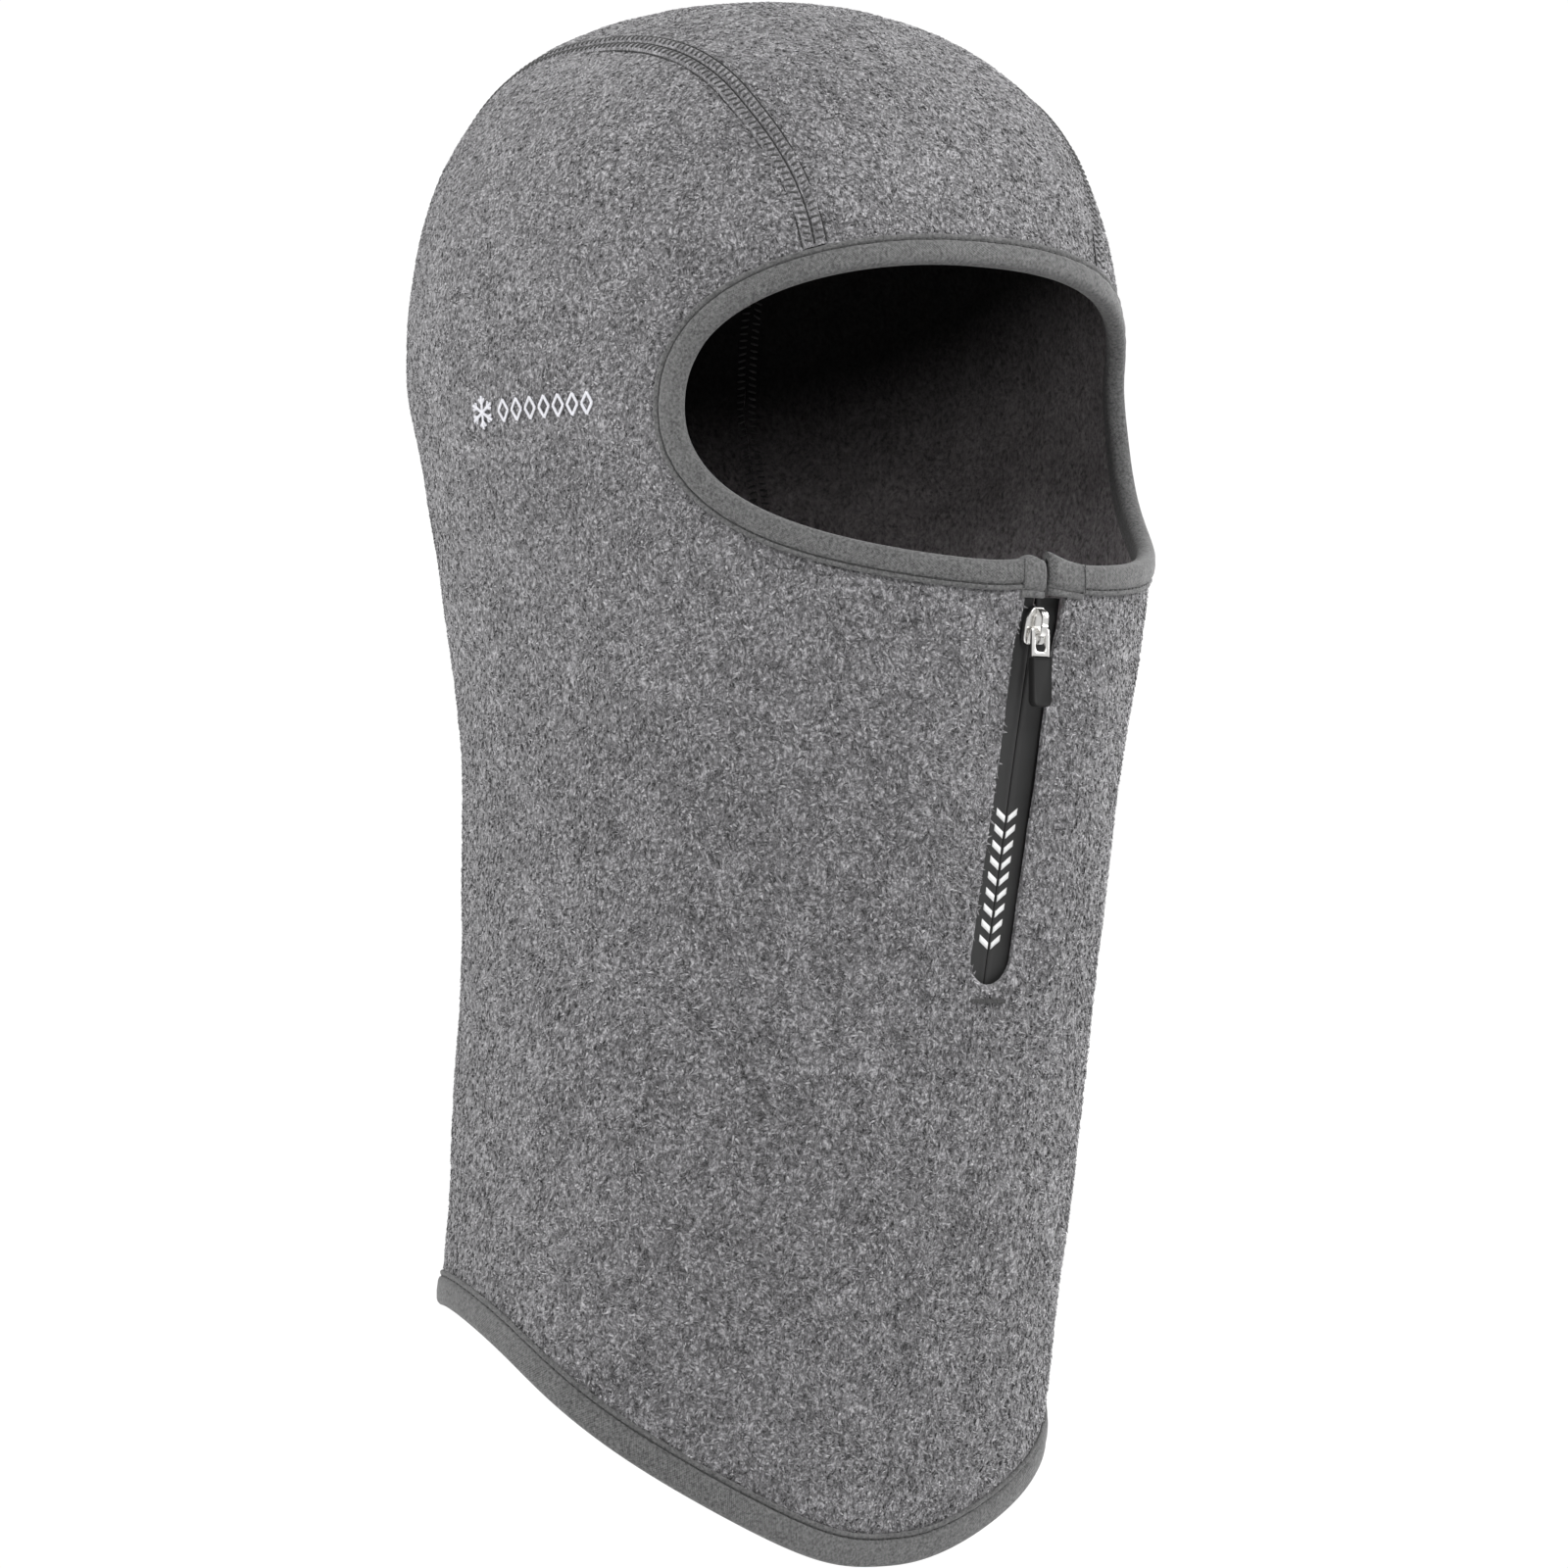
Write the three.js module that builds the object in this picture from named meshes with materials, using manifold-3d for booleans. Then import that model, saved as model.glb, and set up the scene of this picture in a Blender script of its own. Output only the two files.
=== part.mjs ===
// A full-coverage fleece balaclava with a short zip at the chin, on a hollow upright head.
// Millimetres. +Z is up, the face looks along -Y and +X is the wearer's left.
// The origin is the inside of the crown, where the top of the head carries the garment.
import * as THREE from "three";
import { mergeVertices } from "three/addons/utils/BufferGeometryUtils.js";
import Module from "manifold-3d";

const wasm = await Module();
wasm.setup();

// ---- Driving dimensions ----

// The outer skin: its half width, front reach and back reach at each level below the widest one.
const widestZ = -95;
const crownRise = 97.5;
const roundness = 2.4;
const girths = [
  [-95, 90, 96, 82],
  [-125, 87, 113, 75],
  [-155, 82, 117, 70],
  [-190, 77, 112, 68],
  [-230, 76, 103, 67],
  [-270, 77, 93, 68],
  [-315, 79, 80, 71],
  [-360, 81, 66, 75],
  [-415, 82, 50, 79],
];

// Fabric
const fleeceThickness = 2.2;
const seamGap = 0.3;
const clothClearance = 0.8;

// Face opening, as a rounded outline of angle round the head against level
const faceHalfAngle = THREE.MathUtils.degToRad(50);
const faceCentreZ = -112;
const faceRise = 38;
const faceDrop = 40;
const faceUpperPower = 2.3;
const faceLowerPower = 2.15;

// Hem: level behind, and how far it dips towards the chest
const hemBackZ = -343;
const hemDip = 67;
const hemDipAngle = THREE.MathUtils.degToRad(120);
const hemDipPower = 1.22;

// Crown strip: half width from the brow (0) over the crown to the nape hem (1)
const crownStrip = [
  [0, 49],
  [0.12, 55],
  [0.5, 56],
  [1, 48],
];

// Elastic binding that wraps each raw edge, and its stitching
const bindingWidth = 7.8;
const bindingFold = 1.5;
const bindingLeg = 1;
const stitchInset = 6.4;
const stitchWidth = 0.9;
const threadHeight = 0.5;
const hemBindingWidth = 9.4;

// Flatlock seams over the crown
const flatlockWidth = 8;
const flatlockHeight = 0.8;
const flatlockClearance = 0.8;
const flatlockEndGap = 1.6;

// Zip window in the fleece and the zip behind it
const windowWidth = 14;
const windowFootZ = -259;
const zipTopZ = faceCentreZ - faceDrop - bindingWidth - 0.4;
const zipFootZ = windowFootZ - 3;
const zipSetBackTop = fleeceThickness + 1.2;
const zipSetBackFoot = fleeceThickness + 0.6;
const tapeThickness = 0.8;
const tapeWidth = 8.5;
const tapeCorner = 3;
const tapeSlot = 1.4;
const coilSize = 1.6;
const coilStart = 1;
const stopLength = 1.6;
const bottomStopWidth = 6;
const bottomStopLength = 3.5;
const fit = 0.3;

// Bartack across the foot of the window
const bartackWidth = 13;
const bartackHeight = 2;
const bartackDrop = 4;

// Slider and pull
const sliderLength = 9;
const sliderWidth = 8;
const sliderPlate = 1.6;
const sliderBackPlate = 1.2;
const sliderPlateGap = 0.4;
const sliderNeck = 0.8;
const bridgeLength = 6.8;
const bridgePost = 1;
const bridgeWidth = 1.5;
const bridgeBar = 1;
const bridgeSpace = 2.4;
const linkWidth = 6;
const linkThickness = 1.2;
const linkLength = 6.9;
const linkEye = 2.8;
const linkEyeEnd = 5.5;
const barRadius = 0.7;
const gripWidth = 6.4;
const gripThickness = 2.4;
const gripLength = 12.4;

// Embroidered emblem on the wearer's right temple
const emblemZ = -111;
const emblemHeight = 9;
const emblemBackY = 10;
const emblemFrontY = -41;
const backingMargin = 2;
const backingTop = -fleeceThickness - 0.9;

// ---- The skin of the hood ----

// The cubic through a table's rows, level in their first column, that starts off level.
function through(rows, at, column) {
  const falling = rows[1][0] < rows[0][0] ? -1 : 1;
  let i = 0;
  while (i < rows.length - 2 && (at - rows[i + 1][0]) * falling > 0) i++;
  const slope = (k) => {
    if (k === 0) return 0;
    const [p, q] = [rows[k - 1], rows[Math.min(k + 1, rows.length - 1)]];
    return (q[column] - p[column]) / (q[0] - p[0]);
  };
  const [from, to] = [rows[i], rows[i + 1]];
  const span = to[0] - from[0];
  const t = Math.max(0, (at - from[0]) / span);
  const [t2, t3] = [t * t, t * t * t];
  return (
    from[column] * (2 * t3 - 3 * t2 + 1) +
    slope(i) * span * (t3 - 2 * t2 + t) +
    to[column] * (3 * t2 - 2 * t3) +
    slope(i + 1) * span * (t3 - t2)
  );
}

const reachOf = (z, column) => through(girths, Math.min(z, widestZ), column);
const signedPower = (v, p) => Math.sign(v) * Math.abs(v) ** p;

// Level on the skin's own vertical scale, which keeps even steps over the crown.
const crownScale = 95;
const crownTop = widestZ + (Math.PI / 2) * crownScale;
const crownAngle = (q) => Math.min(Math.max((q - widestZ) / crownScale, 0), Math.PI / 2);

function zOf(q) {
  if (q <= widestZ) return q;
  return widestZ + crownRise * Math.sin(crownAngle(q)) ** (2 / roundness);
}

function scaleOf(z) {
  if (z <= widestZ) return 1;
  const rise = Math.min((z - widestZ) / crownRise, 1);
  return Math.max(1 - rise ** roundness, 1e-9) ** (1 / roundness);
}

function levelOf(z) {
  if (z <= widestZ) return z;
  const rise = Math.min((z - widestZ) / crownRise, 1);
  return widestZ + crownScale * Math.asin(Math.min(rise ** (roundness / 2), 1));
}

// A point of the outer skin: angle from the front, towards the wearer's right, and level.
function skin(angle, z) {
  const [s, c] = [Math.sin(angle), Math.cos(angle)];
  const k = scaleOf(z);
  const depth = reachOf(z, c > 0 ? 2 : 3);
  const inverse = (Math.abs(s) / reachOf(z, 1)) ** roundness + (Math.abs(c) / depth) ** roundness;
  const radius = k * inverse ** (-1 / roundness);
  return new THREE.Vector3(-radius * s, -radius * c, z);
}

const angleOf = (p) => Math.atan2(-p.x, -p.y);
const ontoSkin = (p) => skin(angleOf(p), p.z);

function skinValue(x, y, z) {
  const k = Math.max((z - widestZ) / crownRise, 0);
  const depth = reachOf(z, y < 0 ? 2 : 3);
  return (
    (Math.abs(x) / reachOf(z, 1)) ** roundness + (Math.abs(y) / depth) ** roundness + k ** roundness
  );
}

function outward(p) {
  const h = 0.01;
  return new THREE.Vector3(
    skinValue(p.x + h, p.y, p.z) - skinValue(p.x - h, p.y, p.z),
    skinValue(p.x, p.y + h, p.z) - skinValue(p.x, p.y - h, p.z),
    skinValue(p.x, p.y, p.z + h) - skinValue(p.x, p.y, p.z - h),
  ).normalize();
}

const raised = (p, height) => p.clone().addScaledVector(outward(p), height);

// ---- The edges that the pattern pieces are cut to ----

function faceEdge(t) {
  const power = 2 / (Math.cos(t) > 0 ? faceUpperPower : faceLowerPower);
  const height = Math.cos(t) > 0 ? faceRise : faceDrop;
  const angle = faceHalfAngle * signedPower(Math.sin(t), power);
  return skin(angle, faceCentreZ + height * signedPower(Math.cos(t), power));
}

function hemEdge(angle) {
  const turn = Math.min(Math.abs(Math.atan2(Math.sin(angle), Math.cos(angle))) / hemDipAngle, 1);
  return skin(angle, hemBackZ - (hemDip / 2) * (1 + Math.cos(turn ** hemDipPower * Math.PI)));
}

// The point of the skin that lies so far from an edge, into the cloth.
function inset(edge, t, distance) {
  const step = 0.004;
  const along = edge(t + step).sub(edge(t - step)).normalize();
  const here = edge(t);
  const into = new THREE.Vector3().crossVectors(along, outward(here));
  return ontoSkin(here.addScaledVector(into, distance));
}

const clothInset = bindingFold + seamGap;

// The middle line from brow over the crown to the nape, and the strip's points beside it.
const browLevel = levelOf(inset(faceEdge, 0, clothInset).z);
const napeLevel = hemBackZ + clothInset;
const frontRun = crownTop - browLevel;
const wholeRun = frontRun + crownTop - napeLevel;

function stripPoint(run, x) {
  const forward = run < frontRun;
  const q = forward ? browLevel + run : crownTop - (run - frontRun);
  const z = zOf(q);
  const reach = reachOf(z, forward ? 2 : 3) * scaleOf(z) * (forward ? -1 : 1);
  const shrink = (1 - (Math.abs(x) / reachOf(z, 1)) ** roundness) ** (1 / roundness);
  const dropped = z > widestZ ? widestZ + (z - widestZ) * shrink : z;
  return new THREE.Vector3(x, reach * shrink, dropped);
}

const stripWidth = (share) => through(crownStrip, share, 1);

// Where the face edge is as far from the middle as the strip is wide.
function faceTurnAt(x) {
  let [low, high] = [0, Math.PI / 2];
  for (let i = 0; i < 40; i++) {
    const middle = (low + high) / 2;
    if (-inset(faceEdge, middle, clothInset).x < x) low = middle;
    else high = middle;
  }
  return low;
}

// How far along the strip the face edge lies at a given distance from the middle.
function browRun(x) {
  const edge = inset(faceEdge, faceTurnAt(Math.abs(x)), clothInset);
  const shrink = (1 - (Math.abs(x) / reachOf(edge.z, 1)) ** roundness) ** (1 / roundness);
  return levelOf(widestZ + (edge.z - widestZ) / shrink) - browLevel;
}

// A point of the strip: share of the run, and share of the half width plus some millimetres.
function stripAt(share, across, beyond = 0) {
  const start = browRun(Math.abs(across) * stripWidth(0) + beyond);
  const x = across * stripWidth(share) + Math.sign(across) * beyond;
  return stripPoint(start + share * (wholeRun - start), x);
}

// ---- Solids from points ----

function closedGeometry(points, faces) {
  const position = new Float32Array(points.flatMap((p) => [p.x, p.y, p.z]));
  const geometry = new THREE.BufferGeometry();
  geometry.setAttribute("position", new THREE.BufferAttribute(position, 3));
  const volume = faces.reduce((sum, [a, b, c]) => {
    return sum + points[a].dot(new THREE.Vector3().crossVectors(points[b], points[c]));
  }, 0);
  const out = volume < 0 ? faces.map(([a, b, c]) => [a, c, b]) : faces;
  geometry.setIndex(out.flat());
  return geometry;
}

const flatPoints = (outline) => outline.map(([x, y]) => new THREE.Vector2(x, y));

const quad = (a, b, c, d) => [
  [a, b, c],
  [a, c, d],
];

// A slab over a grid of skin points, between two heights above the skin.
function slab(grid, low, high) {
  const [rows, columns] = [grid.length, grid[0].length];
  const count = rows * columns;
  const flat = grid.flat();
  const points = [...flat.map((p) => raised(p, high)), ...flat.map((p) => raised(p, low))];
  const faces = [];
  for (let i = 0; i < rows - 1; i++) {
    for (let j = 0; j < columns - 1; j++) {
      const a = i * columns + j;
      const [b, c, d] = [a + 1, a + columns + 1, a + columns];
      faces.push(...quad(a, b, c, d), ...quad(d + count, c + count, b + count, a + count));
    }
  }
  const rim = [];
  for (let j = 0; j < columns - 1; j++) rim.push(j);
  for (let i = 0; i < rows - 1; i++) rim.push(i * columns + columns - 1);
  for (let j = columns - 1; j > 0; j--) rim.push((rows - 1) * columns + j);
  for (let i = rows - 1; i > 0; i--) rim.push(i * columns);
  rim.forEach((a, k) => {
    const b = rim[(k + 1) % rim.length];
    faces.push(...quad(b, a, a + count, b + count));
  });
  return closedGeometry(points, faces);
}

// A solid through sections of one outline: a ring, or a bar with flat ends.
function loft(sections, outline, ring) {
  const size = outline.length;
  const faces = [];
  const last = ring ? sections.length : sections.length - 1;
  for (let i = 0; i < last; i++) {
    const [here, next] = [i * size, ((i + 1) % sections.length) * size];
    for (let j = 0; j < size; j++) {
      const k = (j + 1) % size;
      faces.push(...quad(here + j, here + k, next + k, next + j));
    }
  }
  if (!ring) {
    const end = (sections.length - 1) * size;
    for (const [a, b, c] of THREE.ShapeUtils.triangulateShape(flatPoints(outline), [])) {
      faces.push([b, c, a], [end + a, end + c, end + b]);
    }
  }
  return closedGeometry(sections.flat(), faces);
}

// A profile of [distance from the edge, height above the skin] carried along an edge.
function edging(edge, turns, profile, ring) {
  const clockwise = THREE.ShapeUtils.isClockWise(flatPoints(profile));
  const outline = clockwise ? profile : [...profile].reverse();
  const sections = turns.map((t) => outline.map(([d, h]) => raised(inset(edge, t, d), h)));
  return loft(sections, outline, ring);
}

// A flat outline in x and z, given its thickness along y.
function plate(outline, yFront, thickness) {
  const shape = new THREE.Shape(flatPoints(outline));
  const geometry = new THREE.ExtrudeGeometry(shape, { depth: thickness, bevelEnabled: false });
  return geometry.rotateX(Math.PI / 2).translate(0, yFront + thickness, 0);
}

function block(xs, ys, zs) {
  const middle = (v) => (v[0] + v[1]) / 2;
  return new THREE.BoxGeometry(xs[1] - xs[0], ys[1] - ys[0], zs[1] - zs[0]).translate(
    middle(xs),
    middle(ys),
    middle(zs),
  );
}

function roundedOutline(width, low, high, radius, steps = 4) {
  const corners = [
    [width / 2 - radius, high - radius, 0],
    [-width / 2 + radius, high - radius, 1],
    [-width / 2 + radius, low + radius, 2],
    [width / 2 - radius, low + radius, 3],
  ];
  return corners.flatMap(([x, z, quarter]) =>
    Array.from({ length: steps + 1 }, (_, i) => {
      const a = (quarter + i / steps) * (Math.PI / 2);
      return [x + radius * Math.cos(a), z + radius * Math.sin(a)];
    }),
  );
}

function solidOf(geometry) {
  const bare = new THREE.BufferGeometry();
  bare.setAttribute("position", geometry.getAttribute("position"));
  bare.setIndex(geometry.index);
  const merged = mergeVertices(bare, 1e-4);
  return new wasm.Manifold(
    new wasm.Mesh({
      numProp: 3,
      vertProperties: new Float32Array(merged.attributes.position.array),
      triVerts: new Uint32Array(merged.index.array),
    }),
  );
}

function geometryOf(solid) {
  const { vertProperties, triVerts } = solid.getMesh();
  const geometry = new THREE.BufferGeometry();
  geometry.setAttribute("position", new THREE.BufferAttribute(vertProperties, 3));
  geometry.setIndex(new THREE.BufferAttribute(triVerts, 1));
  return geometry;
}

const join = (...pieces) => geometryOf(pieces.map(solidOf).reduce((a, b) => a.add(b)));
const cut = (piece, tool) => geometryOf(solidOf(piece).subtract(solidOf(tool)));

function mirrored(geometry) {
  const flipped = geometry.clone().scale(-1, 1, 1);
  const count = flipped.attributes.position.count;
  const index = flipped.index ? [...flipped.index.array] : [...Array(count).keys()];
  for (let i = 0; i < index.length; i += 3) [index[i], index[i + 1]] = [index[i + 1], index[i]];
  flipped.setIndex(index);
  return flipped;
}

// ---- Materials ----

const finish = (color, roughness, metalness = 0) =>
  new THREE.MeshStandardMaterial({ color, roughness, metalness });
const fleece = finish(0x7b7a7d, 1);
const edgeKnit = finish(0x67686a, 0.85);
const greyThread = finish(0x5c5d60, 0.8);
const whiteThread = finish(0xe9e8ec, 0.6);
const film = finish(0x1c1c1d, 0.45);
const coilNylon = finish(0x161617, 0.5);
const nickel = finish(0xc9c8c4, 0.25, 1);
const gripRubber = finish(0x202021, 0.6);
const backingFelt = finish(0x4a4b4d, 1);

const hood = new THREE.Group();

function add(name, geometry, material, parent = hood) {
  geometry.computeVertexNormals();
  const mesh = new THREE.Mesh(geometry, material);
  mesh.name = name;
  parent.add(mesh);
  return mesh;
}

// ---- Rows and columns that neighbouring pieces share ----

const stripColumns = 4;
const wrapColumns = 20;
const bodyRows = 18;
const edgeRow = 0.03;
const bodyShares = Array.from({ length: bodyRows - 1 }, (_, i) => (i + 1) / bodyRows);
const rows = [0, edgeRow, ...bodyShares, 1 - edgeRow, 1];
const seamTurn = faceTurnAt(stripWidth(0));
const stripTurns = Array.from({ length: stripColumns }, (_, i) => (seamTurn * i) / stripColumns);
const wrapTurns = Array.from(
  { length: wrapColumns + 1 },
  (_, i) => seamTurn + ((Math.PI - seamTurn) * i) / wrapColumns,
);
const stripShares = stripTurns.map((t) => -inset(faceEdge, t, clothInset).x / stripWidth(0));

// ---- Pattern pieces ----

function crownPanel() {
  const half = [...stripShares, 1];
  const across = [...half.slice(1).map((v) => -v).reverse(), ...half];
  const grid = rows.map((share) =>
    across.map((v) => stripAt(share, v, Math.abs(v) === 1 ? -seamGap / 2 : 0)),
  );
  return slab(grid, -fleeceThickness, 0);
}

// The right half of the wrap piece, row by row from the face edge to the hem. Its first and last
// rows lie just outside the bindings, and the rows between them bow with the crown seam.
const seamAngle = angleOf(stripAt(1, -1, seamGap / 2));
const besideBinding = 0.6;

function wrapPoint(column, row) {
  const s = column / wrapColumns;
  const hemAngle = seamAngle * (1 - s);
  if (column > 0 && row === 0) return inset(faceEdge, wrapTurns[column], clothInset);
  if (column > 0 && row === rows.length - 1) return inset(hemEdge, hemAngle, clothInset);
  const seam = (share) => stripAt(share, -1, seamGap / 2);
  if (column === 0) return seam(rows[row]);
  const chart = (p) => [angleOf(p), levelOf(p.z)];
  const from = chart(inset(faceEdge, wrapTurns[column], bindingWidth + besideBinding));
  const to = chart(inset(hemEdge, hemAngle, hemBindingWidth + besideBinding));
  const [low, high] = [chart(seam(edgeRow)), chart(seam(1 - edgeRow))];
  const here = chart(seam(rows[row]));
  const v = (rows[row] - edgeRow) / (1 - 2 * edgeRow);
  const pull = (1 - s) ** 3;
  const blend = (i) =>
    (1 - v) * from[i] + v * to[i] + pull * (here[i] - (1 - v) * low[i] - v * high[i]);
  return skin(column === wrapColumns ? 0 : blend(0), zOf(blend(1)));
}

function wrapPanel() {
  const grid = rows.map((_, row) => {
    const right = Array.from({ length: wrapColumns + 1 }, (_, j) => wrapPoint(j, row));
    right[wrapColumns].x = 0;
    const left = right.slice(0, -1).map((p) => new THREE.Vector3(-p.x, p.y, p.z));
    return [...right, ...left.reverse()];
  });
  const sheet = slab(grid, -fleeceThickness, 0);
  const radius = windowWidth / 2;
  const outline = roundedOutline(windowWidth, windowFootZ, faceCentreZ, radius - 0.01, 6);
  const [frontY, depth] = [-reachOf(girths[2][0], 2) - 20, 60];
  return cut(sheet, plate(outline, frontY, depth));
}

// ---- Edge bindings ----

function bindingProfile(width) {
  const [top, bottom] = [clothClearance, -fleeceThickness - clothClearance];
  const [outer, inner] = [top + bindingLeg, bottom - bindingLeg];
  const round = bindingFold * 0.7;
  return [
    [0, outer - round],
    [round, outer],
    [width, outer],
    [width, top],
    [bindingFold, top],
    [bindingFold, bottom],
    [width, bottom],
    [width, inner],
    [round, inner],
    [0, inner + round],
  ];
}

function stitchProfile(at) {
  const low = clothClearance + bindingLeg + fit;
  const half = stitchWidth / 2;
  return [
    [at - half, low],
    [at + half, low],
    [at + half, low + threadHeight],
    [at - half, low + threadHeight],
  ];
}

const endTurn = Math.PI - Math.asin((windowWidth / 2 + 1.6) / reachOf(girths[2][0], 1));
const chinTurns = wrapTurns.filter((t) => t < endTurn - 0.05);
const faceTurns = [...stripTurns.slice(1), ...chinTurns, endTurn];
const faceRing = [...faceTurns.map((t) => -t).reverse(), 0, ...faceTurns];

// The binding's folded end, from the tack line to the middle of the zip.
function bindingEnd() {
  const [from, to] = [endTurn + 0.006, Math.PI - 0.014];
  const turns = [from, (from + to) / 2, to];
  return edging(faceEdge, turns, bindingProfile(bindingWidth), false);
}

function hemRing() {
  const right = Array.from({ length: wrapColumns }, (_, i) => (seamAngle * (i + 1)) / wrapColumns);
  const behind = stripShares.slice(1).map((share) => angleOf(stripAt(1, -share)));
  const half = [...right, ...behind.reverse()];
  return [0, ...half, Math.PI, ...half.map((a) => -a).reverse()];
}

// ---- Seam threads and emblem ----

function flatlock() {
  const half = flatlockWidth / 2;
  const run = rows.filter((share) => share < 1);
  const offsets = [-half, 0, half];
  const browEnd = (bindingWidth - clothInset + flatlockEndGap) / wholeRun;
  const hemEnd = 1 - (hemBindingWidth - clothInset + flatlockEndGap) / wholeRun;
  const shares = [browEnd, ...run.filter((share) => share > browEnd && share < hemEnd), hemEnd];
  const grid = shares.map((share) => offsets.map((beyond) => stripAt(share, -1, beyond)));
  return slab(grid, flatlockClearance, flatlockClearance + flatlockHeight);
}

function patch(low, high, margin) {
  const [steps, lifts] = [6, [-1, 1]];
  const grid = lifts.map((lift) =>
    Array.from({ length: steps + 1 }, (_, i) => {
      const y = emblemBackY + margin + ((emblemFrontY - emblemBackY - 2 * margin) * i) / steps;
      const z = emblemZ + lift * (emblemHeight / 2 + margin);
      return ontoSkin(new THREE.Vector3(-reachOf(z, 1), y, z));
    }),
  );
  return slab(grid, low, high);
}

function bartack() {
  const z = windowFootZ - bartackDrop;
  const point = (x, lift) => ontoSkin(new THREE.Vector3(x, -reachOf(z, 2), z + lift));
  const grid = [-bartackHeight / 2, bartackHeight / 2].map((lift) =>
    [-bartackWidth / 2, 0, bartackWidth / 2].map((x) => point(x, lift)),
  );
  return slab(grid, seamGap, seamGap + threadHeight);
}

add("crown_panel", crownPanel(), fleece);
add("wrap_panel", wrapPanel(), fleece);
add("face_binding", edging(faceEdge, faceRing, bindingProfile(bindingWidth), false), edgeKnit);
add("face_stitching", edging(faceEdge, faceRing, stitchProfile(stitchInset), false), greyThread);
add("hem_binding", edging(hemEdge, hemRing(), bindingProfile(hemBindingWidth), true), edgeKnit);
add("hem_stitching", edging(hemEdge, hemRing(), stitchProfile(stitchInset + 1), true), greyThread);
add("right_binding_end", bindingEnd(), edgeKnit);
add("left_binding_end", mirrored(bindingEnd()), edgeKnit);
add("right_crown_seam", flatlock(), greyThread);
add("left_crown_seam", mirrored(flatlock()), greyThread);
add("side_embroidery", patch(seamGap, seamGap + threadHeight, 0), whiteThread);
add("embroidery_backing", patch(backingTop - threadHeight, backingTop, backingMargin), backingFelt);
add("zip_foot_bartack", bartack(), greyThread);

// ---- The zip, in its own frame: x across, z up the tapes, -y outwards, origin at its foot ----

const zipTopY = -reachOf(zipTopZ, 2) + zipSetBackTop;
const zipFootY = -reachOf(zipFootZ, 2) + zipSetBackFoot;
const zipTilt = Math.atan2(zipFootY - zipTopY, zipTopZ - zipFootZ);
const tapeLength = Math.hypot(zipFootY - zipTopY, zipTopZ - zipFootZ);
const zip = new THREE.Group();
zip.position.set(0, zipFootY, zipFootZ);
zip.rotation.x = zipTilt;
hood.add(zip);

const inner = tapeSlot / 2;
const coilY = [tapeThickness + fit, tapeThickness + fit + coilSize];
const stopTop = tapeLength - fit;
const stopFoot = stopTop - stopLength;

function rightTape() {
  const outline = [
    [-inner, 0],
    [-inner, tapeLength],
    [-tapeWidth, tapeLength],
    [-tapeWidth, tapeCorner],
    [-tapeWidth + tapeCorner, 0],
  ];
  return plate(outline, 0, tapeThickness);
}
const rightCoil = () => block([-inner - coilSize, -inner], coilY, [coilStart, stopFoot - fit]);
const rightStop = () => block([-inner - coilSize - fit, -inner], coilY, [stopFoot, stopTop]);

const handed = [
  ["right", (g) => g],
  ["left", mirrored],
];
for (const [side, turn] of handed) {
  add(side + "_zip_tape", turn(rightTape()), film, zip);
  add(side + "_zip_coil", turn(rightCoil()), coilNylon, zip);
  add(side + "_top_stop", turn(rightStop()), nickel, zip);
}
const stopReach = bottomStopWidth / 2;
const bottomStop = block([-stopReach, stopReach], [0, coilY[1]], [-0.5 - bottomStopLength, -0.5]);
add("bottom_stop", bottomStop, nickel, zip);

// ---- Slider and pull ----

const sliderZ = stopFoot - fit - sliderLength / 2;
const plateFront = -fit - 0.1 - sliderPlate;
const slider = new THREE.Group();
slider.position.z = sliderZ;
zip.add(slider);

function sliderShape() {
  const [half, tall] = [sliderWidth / 2, sliderLength / 2];
  return [
    [half - 0.8, -tall],
    [half - 0.2, -tall + 0.7],
    [half, 1],
    [half - 0.6, tall - 0.8],
    [half - 1.6, tall],
    [-half + 1.6, tall],
    [-half + 0.6, tall - 0.8],
    [-half, 1],
    [-half + 0.2, -tall + 0.7],
    [-half + 0.8, -tall],
  ];
}

function sliderBody() {
  const backPlateY = coilY[1] + sliderPlateGap;
  const neck = block(
    [-sliderNeck / 2, sliderNeck / 2],
    [plateFront + 0.5, backPlateY + 0.5],
    [1, sliderLength / 2 - 0.5],
  );
  const front = plate(sliderShape(), plateFront, sliderPlate);
  return join(front, plate(sliderShape(), backPlateY, sliderBackPlate), neck);
}

// The arch over the front plate that carries the pull's bar.
function bridge() {
  const reach = bridgeLength / 2;
  const [foot, ceiling] = [plateFront - fit, plateFront - bridgeSpace];
  const inside = reach - bridgePost;
  const outline = [
    [reach, foot],
    [reach, ceiling - 0.1],
    [reach - 0.8, ceiling - bridgeBar],
    [-reach + 0.8, ceiling - bridgeBar],
    [-reach, ceiling - 0.1],
    [-reach, foot],
    [-inside, foot],
    [-inside, ceiling + 0.3],
    [-inside + 0.3, ceiling],
    [inside - 0.3, ceiling],
    [inside, ceiling + 0.3],
    [inside, foot],
  ];
  const shape = new THREE.Shape(outline.map(([z, y]) => new THREE.Vector2(y, z)));
  const geometry = new THREE.ExtrudeGeometry(shape, { depth: bridgeWidth, bevelEnabled: false });
  geometry.applyMatrix4(
    new THREE.Matrix4().makeBasis(
      new THREE.Vector3(0, 1, 0),
      new THREE.Vector3(0, 0, 1),
      new THREE.Vector3(1, 0, 0),
    ),
  );
  return geometry.translate(-bridgeWidth / 2, 0, 0);
}

add("slider_body", sliderBody(), nickel, slider);
add("slider_bridge", bridge(), nickel, slider);

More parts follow.
